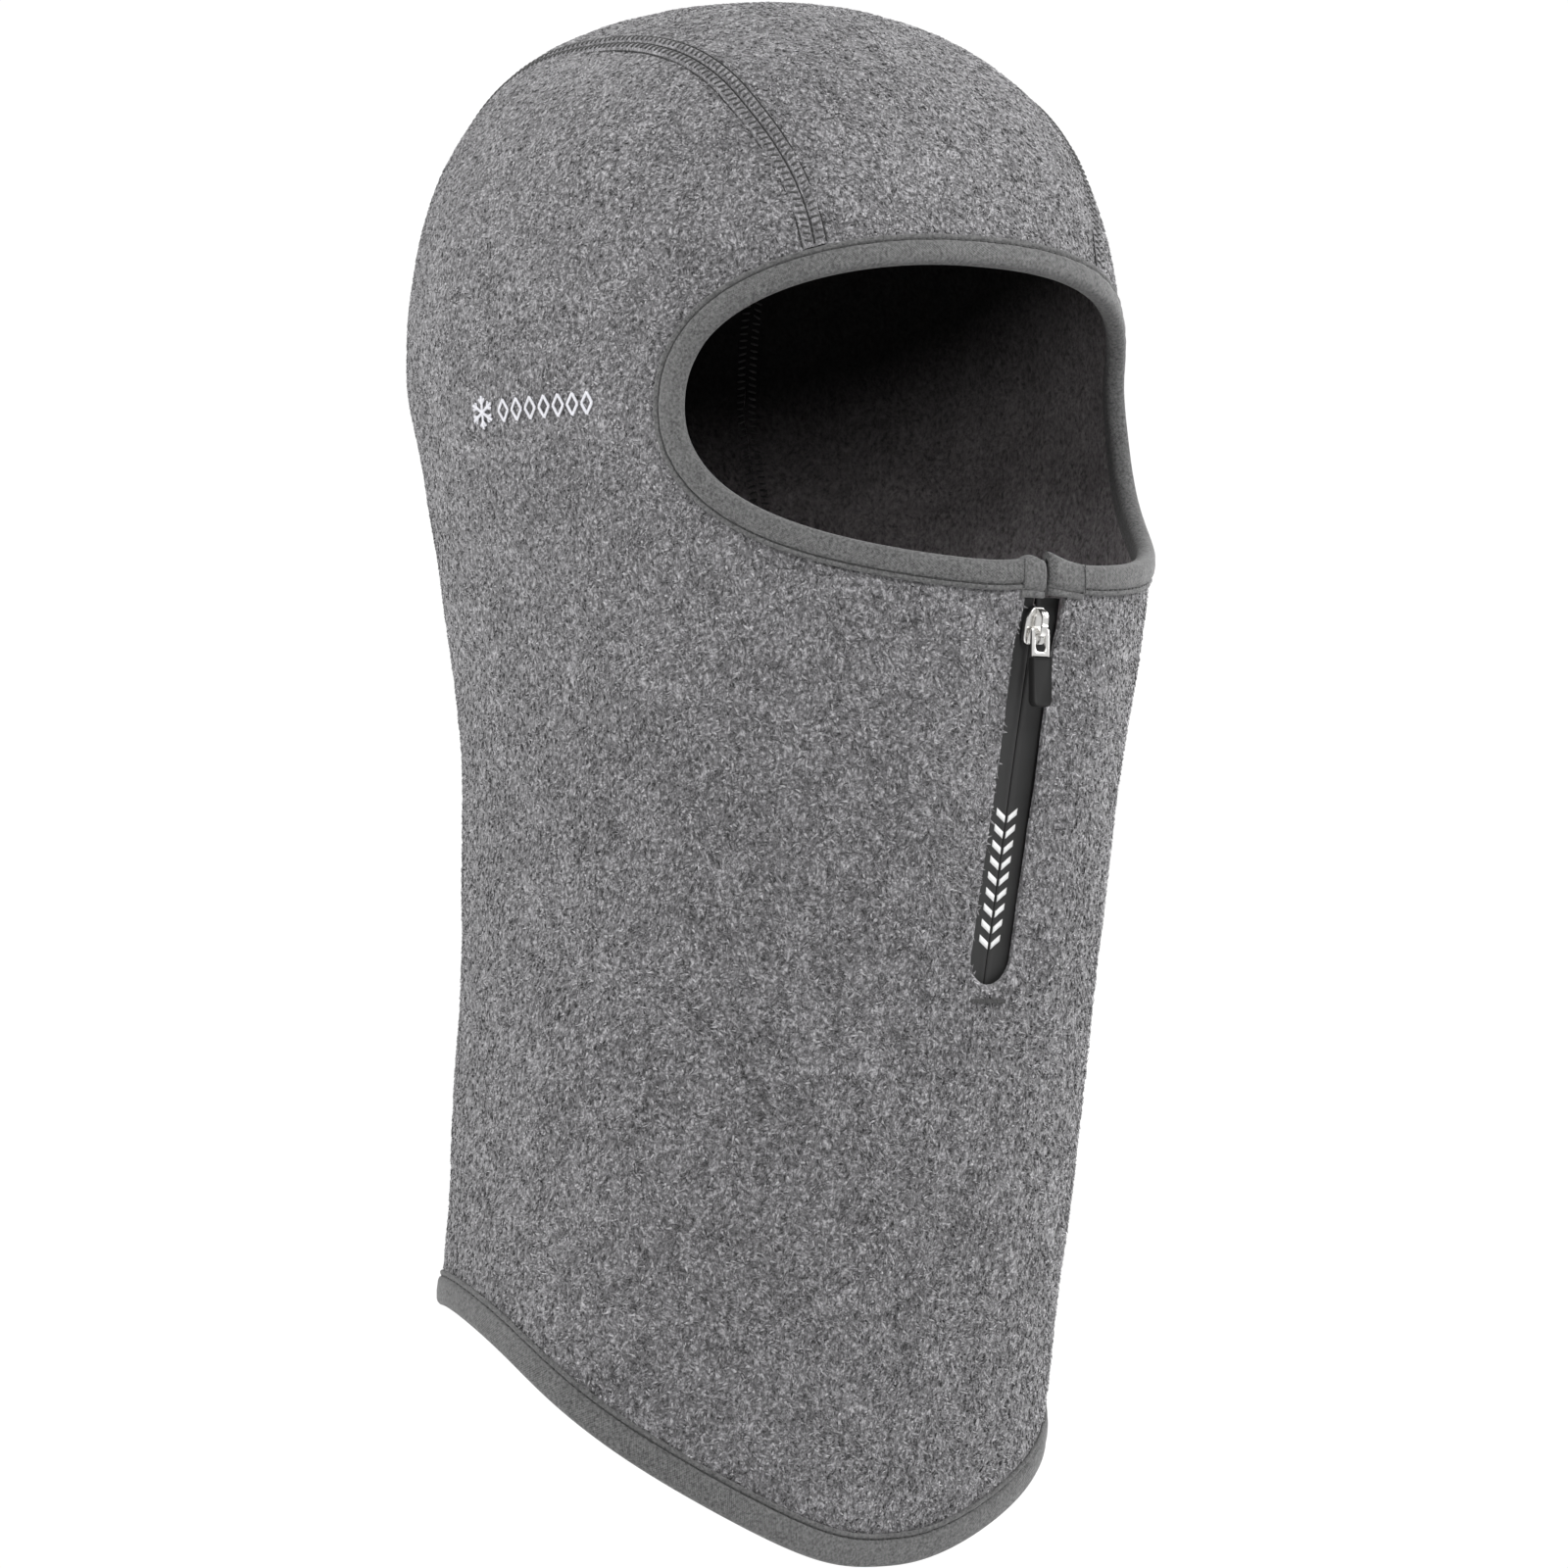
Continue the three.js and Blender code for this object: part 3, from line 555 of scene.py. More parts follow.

# Painted shade: the inside's colour is mixed towards a near black grey higher up and further back,
# where the crown shades it.
tree = fleece_inside.node_tree
place = node(tree, "SeparateXYZ", {}, {"Vector": node(tree, "TexCoord").outputs["Object"]})
height = math_node(tree, "MULTIPLY_ADD", place.outputs["Y"], 0.35, place.outputs["Z"])
depth = node(tree, "MapRange",
             {"From Min": -0.115, "From Max": -0.066, "To Min": 0.12, "To Max": 0.97},
             {"Value": height}, interpolation_type="SMOOTHSTEP")
pattern = next(n for n in tree.nodes if n.bl_idname == "ShaderNodeGroup")
shader = next(n for n in tree.nodes if n.bl_idname == "ShaderNodeBsdfPrincipled")
tree.links.new(mix_colour(tree, depth.outputs["Result"], pattern.outputs["Color"], grey(16)),
               shader.inputs["Base Color"])

# The knit's dark colour serves both its darker yarn and painted shade in the grooves between its loops.
edge_knit = material("edge_knit", knit, {
    "Ground": grey(58), "Raised": grey(124), "Wale Size": 0.62, "Heather": 0.75},
    roughness=0.85, bump=(0.55, 0.15), Sheen_Weight=0.15, Specular_IOR_Level=0.25)
grey_thread = material("grey_thread", wear, {
    "Clean": grey(50), "Worn": grey(84), "Grain Size": 0.3, "Edge": 0.2,
    "Clean Roughness": 0.75, "Worn Roughness": 0.9}, bump=(0.4, 0.08), Sheen_Weight=0.1)
dark_thread = material("dark_thread", wear, {
    "Clean": grey(44), "Worn": grey(66), "Grain Size": 0.3, "Edge": 0.2,
    "Clean Roughness": 0.75, "Worn Roughness": 0.9}, bump=(0.4, 0.08))
white_thread = material("white_thread", wear, {
    "Clean": grey(238, (0.98, 0.98, 1.03)), "Worn": grey(205, (0.96, 0.96, 1.05)),
    "Grain Size": 0.25, "Edge": 0.1, "Clean Roughness": 0.45, "Worn Roughness": 0.6},
    bump=(0.3, 0.05), Sheen_Weight=0.3)
zip_film = material("zip_film", wear, {
    "Clean": grey(45), "Worn": grey(56), "Grain Size": 0.22, "Edge": 0.25,
    "Clean Roughness": 0.5, "Worn Roughness": 0.62}, bump=(0.12, 0.05),
    Specular_IOR_Level=0.3)
coil_nylon = material("coil_nylon", wear, {
    "Clean": grey(30), "Worn": grey(44), "Grain Size": 0.2, "Edge": 0.2,
    "Clean Roughness": 0.35, "Worn Roughness": 0.5}, bump=(0.1, 0.04))
print_white = material("print_white", wear, {
    "Clean": grey(244), "Worn": grey(225), "Grain Size": 0.2, "Edge": 0.2,
    "Clean Roughness": 0.45, "Worn Roughness": 0.6}, bump=(0.1, 0.03))
nickel = material("nickel", wear, {
    "Clean": grey(238, (1.0, 0.99, 0.97)), "Worn": grey(206, (1.0, 0.98, 0.95)),
    "Grain Size": 0.5, "Edge": 0.35, "Clean Roughness": 0.14, "Worn Roughness": 0.3},
    metallic=1.0, bump=(0.08, 0.03))
grip_rubber = material("grip_rubber", wear, {
    "Clean": grey(30), "Worn": grey(42), "Grain Size": 0.18, "Edge": 0.4,
    "Clean Roughness": 0.55, "Worn Roughness": 0.7}, bump=(0.15, 0.05),
    Specular_IOR_Level=0.12)
backing_felt = material("backing_felt", wear, {
    "Clean": grey(70), "Worn": grey(90), "Grain Size": 0.7, "Edge": 0.0,
    "Clean Roughness": 0.9, "Worn Roughness": 1.0}, bump=(0.5, 0.2))
print("materials:", len(bpy.data.materials))

# %% [markdown]
# ## The fleece panels
# The hood is cut from two pieces: a strip from the brow over the crown to the nape,
# and one wide piece that wraps both sides, the jaw and the chest. A simulation has
# nothing to add here, because the cloth is stretched smooth over a head. We lay a
# fine grid on the skin instead, let it breathe by a fraction of a millimetre, press
# it down where it is sewn, and give it its thickness with a Solidify modifier.

# %% How the cloth lies
WINDOW_HALF, WINDOW_FOOT_Z = 7.0, -259.0
BINDING_WIDTH, HEM_BINDING_WIDTH, BESIDE = 7.8, 9.4, 0.6


def ripple(p):
    """Slow unevenness of stretched cloth, in millimetres of height."""
    x, y, z = p[..., 0], p[..., 1], p[..., 2]
    return (0.34 * np.sin(x / 13 + 1.7 * np.sin(z / 31)) * np.cos(z / 19 + y / 23)
            + 0.2 * np.sin(z / 9.5 + x / 17 + 0.8) * np.sin(y / 11)
            + 0.12 * np.sin(x / 4.1 + z / 6.3) * np.sin(y / 5.2 - z / 8.7))


def over_tape(p, room):
    """The cloth is glued to the zip's tapes: it stands a little proud over their outer
    edges, and is pressed down onto the film beside the window."""
    x, z = np.abs(p[..., 0]), p[..., 2]
    behind = (p - np.array([0, -92.321, -262.0])) @ np.array([0, -0.979293, -0.202449])
    ridge = 0.4 * (1 - smoothstep(11.6, 13.0, x)) * smoothstep(-268.5, -266.8, z)
    press = np.clip(behind - 1.3, 0, 2.8) * (1 - smoothstep(7.5, 30.0, x))
    press = press * smoothstep(-272, -252, z) * smoothstep(0, 14, room)
    return (ridge - press) * (p[..., 1] < 0)


def thinned(p):
    """The share of its thickness that the cloth keeps: its bonded edge is pressed thin."""
    x, z = np.abs(p[..., 0]), p[..., 2]
    beside = (1 - smoothstep(8.0, 13.0, x)) * smoothstep(-268, -262, z) * (p[..., 1] < 0)
    return 1 - 0.5 * beside


def laid(p, room, seam_distance, length_along):
    """Skin points moved by ripples, and pressed where an edge or a seam holds them."""
    middle = np.where(p[..., 1] < 0, smoothstep(0, 9, np.abs(p[..., 0])), 1.0)
    free = smoothstep(0.0, 16.0, room) * middle
    pucker = 0.22 * np.exp(-seam_distance / 6.0) * np.sin(length_along / 2.3)
    pressed = 0.3 * np.exp(-((seam_distance / 4.0) ** 2))
    height = ripple(p) * free + pucker * smoothstep(2, 6, room) - pressed + over_tape(p, room)
    return raised(p, height)


# %% [markdown]
# The wrap is worked out for the wearer's right and mirrored for the left. Its rows
# run from the face opening to the hem. Between the two bindings a point is a mix, in
# angle and level, of the points straight above and below, and the first columns also
# bow with the crown seam.

# %% The wrap piece
EDGE_ROW = 0.03


def chart(p):
    return np.stack([angle_of(p), level_of(p[..., 2])], -1)


def wrap_flat(s, v):
    """Skin point of the wrap: s from the crown seam to the front, v from face to hem."""
    turn = seam_turn + (math.pi - seam_turn) * s
    hem_angle = seam_angle * (1 - s)
    inner = np.clip((v - EDGE_ROW) / (1 - 2 * EDGE_ROW), 0, 1)
    start = chart(inset(face_edge, turn, BINDING_WIDTH + BESIDE))
    stop = chart(inset(hem_edge, hem_angle, HEM_BINDING_WIDTH + BESIDE))
    first = (BINDING_WIDTH + BESIDE - CLOTH_INSET) / whole_run
    last = 1 - (HEM_BINDING_WIDTH + BESIDE - CLOTH_INSET) / whole_run
    low, high = (chart(strip_at(share, -1.0, SEAM_GAP / 2)) for share in (first, last))
    seam = chart(strip_at(first + inner * (last - first), -1.0, SEAM_GAP / 2))
    pull = ((1 - s) ** 3)[:, None]
    mix = inner[:, None]
    bowed = seam - (1 - mix) * low - mix * high
    here = (1 - mix) * start + mix * stop + pull * bowed
    under_face = np.clip(1 - v / EDGE_ROW, 0, 1)[:, None]
    under_hem = np.clip(1 - (1 - v) / EDGE_ROW, 0, 1)[:, None]
    top = chart(inset(face_edge, turn, CLOTH_INSET))
    bottom = chart(inset(hem_edge, hem_angle, CLOTH_INSET))
    here = here + under_face * (top - start) + under_hem * (bottom - stop)
    here[:, 0] = np.where(s >= 1 - 1e-6, 0.0, here[:, 0])
    return skin(here[:, 0], z_of(here[:, 1]))


def row_lengths(place, columns, rows):
    """Distance from the first column, along each row, at every grid point."""
    u, v = np.meshgrid(np.linspace(0, 1, columns + 1), np.linspace(0, 1, rows + 1))
    p = place(u.ravel(), v.ravel()).reshape(rows + 1, columns + 1, 3)
    across = np.cumsum(np.linalg.norm(np.diff(p, axis=1), axis=2), axis=1)
    down = np.cumsum(np.linalg.norm(np.diff(p, axis=0), axis=2), axis=0)
    return (np.pad(across, ((0, 0), (1, 0))), np.pad(down, ((1, 0), (0, 0))))


WRAP_COLUMNS, WRAP_ROWS = 116, 196


def at_grid(table, u, v):
    rows, columns = table.shape
    return table[np.round(v * (rows - 1)).astype(int), np.round(u * (columns - 1)).astype(int)]


def wrap_place(s, v):
    across, down = row_lengths(wrap_flat, WRAP_COLUMNS, WRAP_ROWS)
    from_seam, fallen = at_grid(across, s, v), at_grid(down, s, v)
    whole = at_grid(np.repeat(down[-1:], len(down), 0), s, v)
    room = np.minimum(fallen, whole - fallen) - 6.0
    return laid(wrap_flat(s, v), room, from_seam, fallen)


def cut_window(bm):
    """Cuts the rounded zip window out of the right half."""
    steps = 8
    arc = [(-WINDOW_HALF * math.sin(a), WINDOW_FOOT_Z + WINDOW_HALF * (1 - math.cos(a)))
           for a in (math.pi / 2 * i / steps for i in range(steps + 1))]
    arc.append((-WINDOW_HALF, -100.0))
    for (x0, z0), (x1, z1) in zip(arc, arc[1:]):
        along = Vector((x1 - x0, 0, z1 - z0)).normalized()
        normal = Vector((-along.z, 0, along.x))
        near = [f for f in bm.faces if f.calc_center_median().y < -0.08
                and f.calc_center_median().x > (x1 - 3) * MM
                and (z0 - 3) * MM < f.calc_center_median().z < (z1 + 3) * MM]
        geom = list({g for f in near for g in (*f.verts, *f.edges, f)})
        bmesh.ops.bisect_plane(bm, geom=geom, plane_co=Vector((x0, 0, z0)) * MM,
                               plane_no=normal, dist=1e-6)

    def in_window(c):
        x, z = abs(c.x) / MM, c.z / MM
        if c.y > -0.05 or x > WINDOW_HALF or z < WINDOW_FOOT_Z:
            return False
        drop = WINDOW_FOOT_Z + WINDOW_HALF - z
        return drop <= 0 or x * x + drop * drop < WINDOW_HALF**2 * 0.995

    gone = [f for f in bm.faces if in_window(f.calc_center_median())]
    bmesh.ops.delete(bm, geom=gone, context="FACES")
    print("window cut away", len(gone), "faces")


def facing_out(bm):
    """Turns an open sheet so that its faces look away from the head."""
    bm.normal_update()
    bm.faces.ensure_lookup_table()
    some = bm.faces[len(bm.faces) // 2]
    away = outward(np.array(some.calc_center_median()) / MM)
    if some.normal.dot(Vector(away)) < 0:
        bmesh.ops.reverse_faces(bm, faces=bm.faces)


def settled(obj):
    """Applies a piece's modifiers, so that its mesh is final."""
    seen = obj.evaluated_get(bpy.context.evaluated_depsgraph_get())
    mesh = bpy.data.meshes.new_from_object(seen)
    obj.modifiers.clear()
    obj.data = mesh
    mesh.name = obj.name
    return obj


def sharp_rims(mesh, angle=0.9):
    """Keeps the cut edges of cloth crisp, so that its face shades smoothly up to them."""
    bm = bmesh.new()
    bm.from_mesh(mesh)
    for e in bm.edges:
        if len(e.link_faces) == 2 and e.calc_face_angle(0) > angle:
            e.smooth = False
    bm.to_mesh(mesh)
    bm.free()


def thickened(obj, thickness=FLEECE):
    """The cloth's thickness, inwards, with its inner face in the second material."""
    wall = obj.modifiers.new("thickness", "SOLIDIFY")
    wall.thickness, wall.offset = thickness * MM, -1.0
    wall.use_rim, wall.material_offset, wall.material_offset_rim = True, 1, 0
    wall.use_quality_normals = True
    shares = thinned(np.array([v.co for v in obj.data.vertices]) / MM)
    kept = obj.vertex_groups.new(name="thickness")
    for i, share in enumerate(shares):
        kept.add([i], float(share), "REPLACE")
    wall.vertex_group = "thickness"
    settled(obj).vertex_groups.clear()
    sharp_rims(obj.data)
    return obj


def cloth_area(mesh):
    return sum(p.area for p in mesh.polygons)


bm = grid_bmesh(wrap_place, WRAP_COLUMNS, WRAP_ROWS)
cut_window(bm)
facing_out(bm)
right_wrap = piece_from(bm, "right_wrap_fleece", [fleece, fleece_inside])
left_wrap = mirrored(right_wrap, "left_wrap_fleece")
right_cloth, left_cloth = right_wrap.data.copy(), left_wrap.data.copy()
print("one half of the wrap, square metres:", round(cloth_area(right_cloth), 4))
thickened(right_wrap)
thickened(left_wrap)
print("wrap half:", len(right_wrap.data.polygons), "faces")

# %% [markdown]
# The crown strip is simpler: share of the run against share of the half width.

# %% The crown piece
CROWN_COLUMNS, CROWN_ROWS = 64, 220


def crown_flat(u, v):
    across = 2 * u - 1
    beyond = np.where(np.abs(across) > 0.999, -SEAM_GAP / 2, 0.0)
    return strip_at(v, across, beyond)


def crown_place(u, v):
    across, down = row_lengths(crown_flat, CROWN_COLUMNS, CROWN_ROWS)
    left, fallen = at_grid(across, u, v), at_grid(down, u, v)
    width = at_grid(np.repeat(across[:, -1:], CROWN_COLUMNS + 1, 1), u, v)
    whole = at_grid(np.repeat(down[-1:], len(down), 0), u, v)
    room = np.minimum(fallen, whole - fallen) - 6.0
    return laid(crown_flat(u, v), room, np.minimum(left, width - left), fallen)


bm = grid_bmesh(crown_place, CROWN_COLUMNS, CROWN_ROWS)
facing_out(bm)
crown = piece_from(bm, "crown_fleece", [fleece, fleece_inside])
crown_cloth = crown.data.copy()
print("the crown strip, square metres:", round(cloth_area(crown_cloth), 4))
thickened(crown)

# %% [markdown]
# ## The pile
# What the eye reads as fleece is its nap: short fibres that lean down the cloth in
# loose drifts and break up its outline. Thousands of them would be slow as hair, and
# hair can't be kept in a model. Each tuft here is a tiny closed wedge of four faces,
# placed evenly by area over the outside and left out where a band is sewn over it.

# %% Tufts over the outside
from mathutils.kdtree import KDTree


def line_tree(points):
    tree = KDTree(len(points))
    for i, p in enumerate(points):
        tree.insert(p, i)
    tree.balance()
    return tree


around = np.linspace(-math.pi, math.pi, 1201)
face_line, hem_line = line_tree(face_edge(around)), line_tree(hem_edge(around))
seam_share = np.linspace(0, 1, 901)
right_seam = strip_at(seam_share, -1.0)
seam_line = line_tree(np.concatenate([right_seam, right_seam * (-1, 1, 1)]))


def distance_from(tree, points):
    return np.array([tree.find(p)[2] for p in points])


def spread_over(mesh, count, random):
    """Points spread evenly by area over a mesh, in millimetres."""
    mesh.calc_loop_triangles()
    corners = np.zeros(len(mesh.vertices) * 3)
    mesh.vertices.foreach_get("co", corners)
    triangles = np.zeros(len(mesh.loop_triangles) * 3, int)
    mesh.loop_triangles.foreach_get("vertices", triangles)
    a, b, c = (corners.reshape(-1, 3)[triangles.reshape(-1, 3)[:, k]] / MM for k in range(3))
    area = np.linalg.norm(np.cross(b - a, c - a), axis=1)
    pick = random.choice(len(area), count, p=area / area.sum())
    u, v = random.random((2, count, 1))
    u, v = np.where(u + v > 1, 1 - u, u), np.where(u + v > 1, 1 - v, v)
    return a[pick] + u * (b - a)[pick] + v * (c - a)[pick]


def fluffiness(p):
    """The nap is shorter behind and over the crown than on the chest and jaw."""
    forward = smoothstep(30, -70, p[:, 1])
    low = smoothstep(-90, -260, p[:, 2])
    return 0.55 + 0.3 * forward * (0.5 + 0.5 * low) + 0.25 * low


def pile(name, cloth, count, seed, lift=(0.25, 0.75), tree_room=8.0):
    random = np.random.default_rng(seed)
    p = spread_over(cloth, count, random)
    clear = ((distance_from(face_line, p) > tree_room) & (distance_from(seam_line, p) > 2.9)
             & (distance_from(hem_line, p) > HEM_BINDING_WIDTH + 0.1))
    p = p[clear]
    n = outward(p)
    fall = unit(np.array([0.0, 0.12, -1.0]) - n * (n @ np.array([0.0, 0.12, -1.0]))[:, None])
    side = np.cross(n, fall)
    swirl = 1.1 * np.sin(p[:, 0] / 9 + p[:, 2] / 14) + 1.0 * np.sin(p[:, 2] / 7 - p[:, 1] / 10)
    yaw = (swirl + random.normal(0, 1.0, len(p)))[:, None]
    lean = np.cos(yaw) * fall + np.sin(yaw) * side
    wide = np.cross(n, lean)
    soft = fluffiness(p)[:, None]
    length = random.uniform(0.8, 1.6, (len(p), 1)) * (0.7 + 0.5 * soft)
    width = random.uniform(0.3, 0.52, (len(p), 1))
    rise = random.uniform(*lift, (len(p), 1)) * soft
    root = p - n * 0.2
    made = np.stack([root + wide * width, root - wide * width, p + n * 0.34 * soft - lean * 0.25,
                     p + lean * length + n * rise], 1)
    faces = np.array([[0, 1, 2], [1, 3, 2], [3, 0, 2], [0, 3, 1]])
    a, b, c, d = (made[0, k] for k in range(4))
    if np.dot(np.cross(b - a, c - a), d - a) > 0:
        faces = faces[:, ::-1]
    every = (faces[None] + 4 * np.arange(len(p))[:, None, None]).reshape(-1, 3)
    mesh = bpy.data.meshes.new(name)
    mesh.from_pydata((made * MM).reshape(-1, 3).tolist(), [], every.tolist())
    tone = np.repeat(np.clip(0.47 + random.normal(0, 0.22, len(p)), 0, 1), 4)
    mesh.attributes.new("tone", "FLOAT", "POINT").data.foreach_set("value", tone)
    mesh.materials.append(fleece_pile)
    mesh.polygons.foreach_set("use_smooth", [True] * len(mesh.polygons))
    obj = bpy.data.objects.new(name, mesh)
    bpy.context.scene.collection.objects.link(obj)
    print(name, len(p), "tufts")
    return obj


fleece_pile = material("fleece_pile", heather, {
    "Dark": grey(52, LILAC), "Middle": grey(125, LILAC), "Light": grey(198, LILAC),
    "Streak Size": 1.05, "Drift": 0.32}, roughness=1.0, bump=(0.3, 0.3),
    Sheen_Weight=0.35, Sheen_Roughness=0.5, Specular_IOR_Level=0.1)
tree = fleece_pile.node_tree
tone = node(tree, "Attribute", attribute_name="tone")
pattern = next(n for n in tree.nodes if n.bl_idname == "ShaderNodeGroup")
tree.links.new(tone.outputs["Fac"], pattern.inputs["Tone"])

right_pile = pile("right_wrap_pile", right_cloth, 44000, 11)
left_pile = pile("left_wrap_pile", left_cloth, 44000, 12)
crown_pile = pile("crown_pile", crown_cloth, 40000, 13)

# %% [markdown]
# ## Bindings
# Both raw edges are wrapped in folded elastic. Its section is drawn once as a closed
# outline, [distance into the cloth, height over the skin]: a round fold, a smooth
# band, the groove that the stitching pulls down, and a narrow lip. That outline is
# the grid's other direction, carried along the edge, so the band bends with the
# cloth. The part below the face opening is split at the corners, because its two
# halves swing away with the collar.

# %% The face and hem bindings
def section_of(width, groove):
    """The binding's outline, its groove so far from the fold."""
    return np.array([
        (0.0, -1.1), (0.08, -0.2), (0.38, 0.66), (0.95, 1.25), (1.8, 1.58),
        (width * 0.42, 1.66), (groove - 1.3, 1.5), (groove - 0.4, 1.2), (groove, 0.3),
        (groove + 0.3, 0.95), (width - 0.5, 1.12), (width - 0.12, 0.9), (width, 0.45),
        (width - 0.2, 0.14), (width * 0.5, 0.12), (1.7, 0.12), (1.35, -1.1), (1.7, -2.32),
        (width * 0.5, -2.32), (width - 0.5, -2.34), (width - 0.2, -2.7), (width - 0.6, -3.15),
        (groove, -3.1), (width * 0.4, -3.6), (1.4, -3.45), (0.4, -2.7)])


def turn_at_x(x, sign=1):
    """The turn round the face edge that lies x from the middle, below."""
    chin = skin(0.0, FACE_CENTRE_Z - FACE_DROP)
    share = math.asin(x / -float(chin[1])) / FACE_HALF_ANGLE
    return sign * (math.pi - math.asin(share ** (FACE_LOWER / 2)))


FACE_GROOVE, HEM_GROOVE = 6.35, 7.9
face_section = section_of(BINDING_WIDTH, FACE_GROOVE)
hem_section = section_of(HEM_BINDING_WIDTH, HEM_GROOVE)
TACK_X = {"right": 8.4, "left": 12.2}
FACE_LENGTH, HEM_LENGTH = 430.0, 540.0


def band(name, edge, start, stop, section, steps, length, shaped=None, cap=True):
    """A binding along an edge; shaped(t, d, h) moves its section near the zip."""
    count = len(section)

    def place(u, v):
        t = start + u * (stop - start)
        row = np.round(v * count).astype(int) % count
        d, h = section[row, 0], section[row, 1]
        if shaped:
            d, h = shaped(t, d, h)
        h = h + 0.1 * np.sin(t * 61) * (d > 2) * (h > 0)
        return raised(inset(edge, t, d), h)

    return carried(name, place, steps, count, [edge_knit], (length, 26.0), True, cap)


def near_tack(tack_turn, rise):
    """The band climbs towards its tacked end."""
    def shaped(t, d, h):
        near = np.exp(-np.abs(np.abs(t) - abs(tack_turn)) / 0.055)
        return d - rise * near, h + 0.35 * near * (h > 0)
    return shaped


upper_binding = band("brow_binding", face_edge, -math.pi / 2, math.pi / 2, face_section, 150,
                     FACE_LENGTH / 2)
tacks = {side: turn_at_x(x) for side, x in TACK_X.items()}
right_binding = band("right_jaw_binding", face_edge, math.pi / 2, tacks["right"], face_section,
                     110, FACE_LENGTH / 4, near_tack(tacks["right"], 1.1))
left_binding = band("left_jaw_binding", face_edge, -math.pi / 2, -tacks["left"], face_section,
                    110, FACE_LENGTH / 4, near_tack(tacks["left"], 0.5))
hem_binding = band("hem_edge_binding", hem_edge, 0, 2 * math.pi, hem_section, 300, HEM_LENGTH,
                   cap=False)
print("brow binding:", len(upper_binding.data.polygons), "faces")

# %% [markdown]
# At the zip each binding is folded back on itself and tacked down, so its end stands
# a little higher and thicker than the band beside it, and its corner is soft.

# %% The folded ends
END_X = {"right": 0.3, "left": 1.25}


def folded_end(side):
    sign = 1 if side == "right" else -1
    tack, tip = tacks[side], turn_at_x(END_X[side])
    start, stop = sign * (tack + 0.001), sign * tip

    def shaped(t, d, h):
        along = (np.abs(t) - tack) / (tip - tack)
        if side == "right":
            lift = 1.1 + 1.1 * np.sin(math.pi * np.clip(along * 1.15, 0, 1)) * (along < 0.87) \
                + 0.2 * along
            drop = 0.9
        else:
            lift, drop = 0.7 + 2.9 * along**1.5, 0.9 * (1 - along)
        closing = 1 - 0.55 * smoothstep(0.9, 1.0, along)
        stretched = d * (1 + (lift + drop) / BINDING_WIDTH) - lift
        return stretched, (h + 1.0) * (1.06 * closing) - 1.0 + 0.1 * (h > 0)

    return band(side + "_folded_end", face_edge, start, stop, face_section, 26, 12.0, shaped)


right_end, left_end = folded_end("right"), folded_end("left")

# %% [markdown]
# ## Stitches
# A stitch is the same small capsule every time, so it is modelled once, from an
# operator's sphere pulled long, and stamped wherever a seam needs one. Along the
# binding it lies in the groove. Over the crown the seam is a flatlock: two low
# ridges covered by short cross stitches, with a dark line on either side and one
# between.

# %% Rows of stitches
def capsule(length, radius, around=6, rings=5):
    """A stitch along y, in millimetres."""
    bm = bmesh.new()
    bmesh.ops.create_uvsphere(bm, u_segments=around, v_segments=rings, radius=radius)
    bmesh.ops.rotate(bm, cent=(0, 0, 0), matrix=Matrix.Rotation(math.pi / 2, 3, "X"),
                     verts=bm.verts)
    half = length / 2 - radius
    for v in bm.verts:
        v.co.y += math.copysign(half, v.co.y) if abs(v.co.y) > 1e-6 else 0
    return bm


def stitch_row(name, edge, start, stop, distance, height, pitch, size, materials, shaped=None):
    """Stitches end to end beside an edge."""
    t = np.linspace(start, stop, 2000)
    d, h = np.full_like(t, distance), np.full_like(t, height)
    if shaped:
        d, h = shaped(t, d, h)
    line = raised(inset(edge, t, d), h)
    run = np.concatenate([[0], np.cumsum(np.linalg.norm(np.diff(line, axis=0), axis=1))])
    at = np.arange(pitch / 2, run[-1] - pitch / 2, pitch)
    p = np.stack([np.interp(at, run, line[:, k]) for k in range(3)], -1)
    q = np.stack([np.interp(at + 0.1, run, line[:, k]) for k in range(3)], -1)
    y, z = unit(q - p), outward(p)
    x = unit(np.cross(y, z))
    return stamped(name, capsule(*size), frames_at(p, x, y, np.cross(x, y)), materials)


GROOVE_HEIGHT, STITCH = 0.72, (2.2, 0.28)
brow_stitches = stitch_row("brow_stitches", face_edge, -math.pi / 2, math.pi / 2, FACE_GROOVE,
                           GROOVE_HEIGHT - 0.1, 2.5, STITCH, [grey_thread])
right_stitches = stitch_row("right_jaw_stitches", face_edge, math.pi / 2, tacks["right"],
                            FACE_GROOVE, GROOVE_HEIGHT - 0.1, 2.5, STITCH, [grey_thread],
                            near_tack(tacks["right"], 1.1))
left_stitches = stitch_row("left_jaw_stitches", face_edge, -math.pi / 2, -tacks["left"],
                           FACE_GROOVE, GROOVE_HEIGHT - 0.1, 2.5, STITCH, [grey_thread],
                           near_tack(tacks["left"], 0.5))
hem_stitches = stitch_row("hem_edge_stitches", hem_edge, 0, 2 * math.pi, HEM_GROOVE,
                          GROOVE_HEIGHT - 0.1, 2.6, STITCH, [grey_thread])


def tack_row(side):
    """The short bar of stitches that holds a folded end."""
    sign = 1 if side == "right" else -1
    t = sign * tacks[side]
    d = np.linspace(0.6, BINDING_WIDTH - 0.8, 6) - (1.1 if side == "right" else 0.5)
    p = raised(inset(face_edge, np.full_like(d, t), d), 2.0 + 0 * d)
    into = unit(inset(face_edge, np.full_like(d, t), d + 0.5)
                - inset(face_edge, np.full_like(d, t), d))
    z = outward(p)
    x = unit(np.cross(into, z))
    return stamped(side + "_end_tack", capsule(1.15, 0.17), frames_at(p, x, into, np.cross(x, into)),
                   [grey_thread])


right_tack, left_tack = tack_row("right"), tack_row("left")

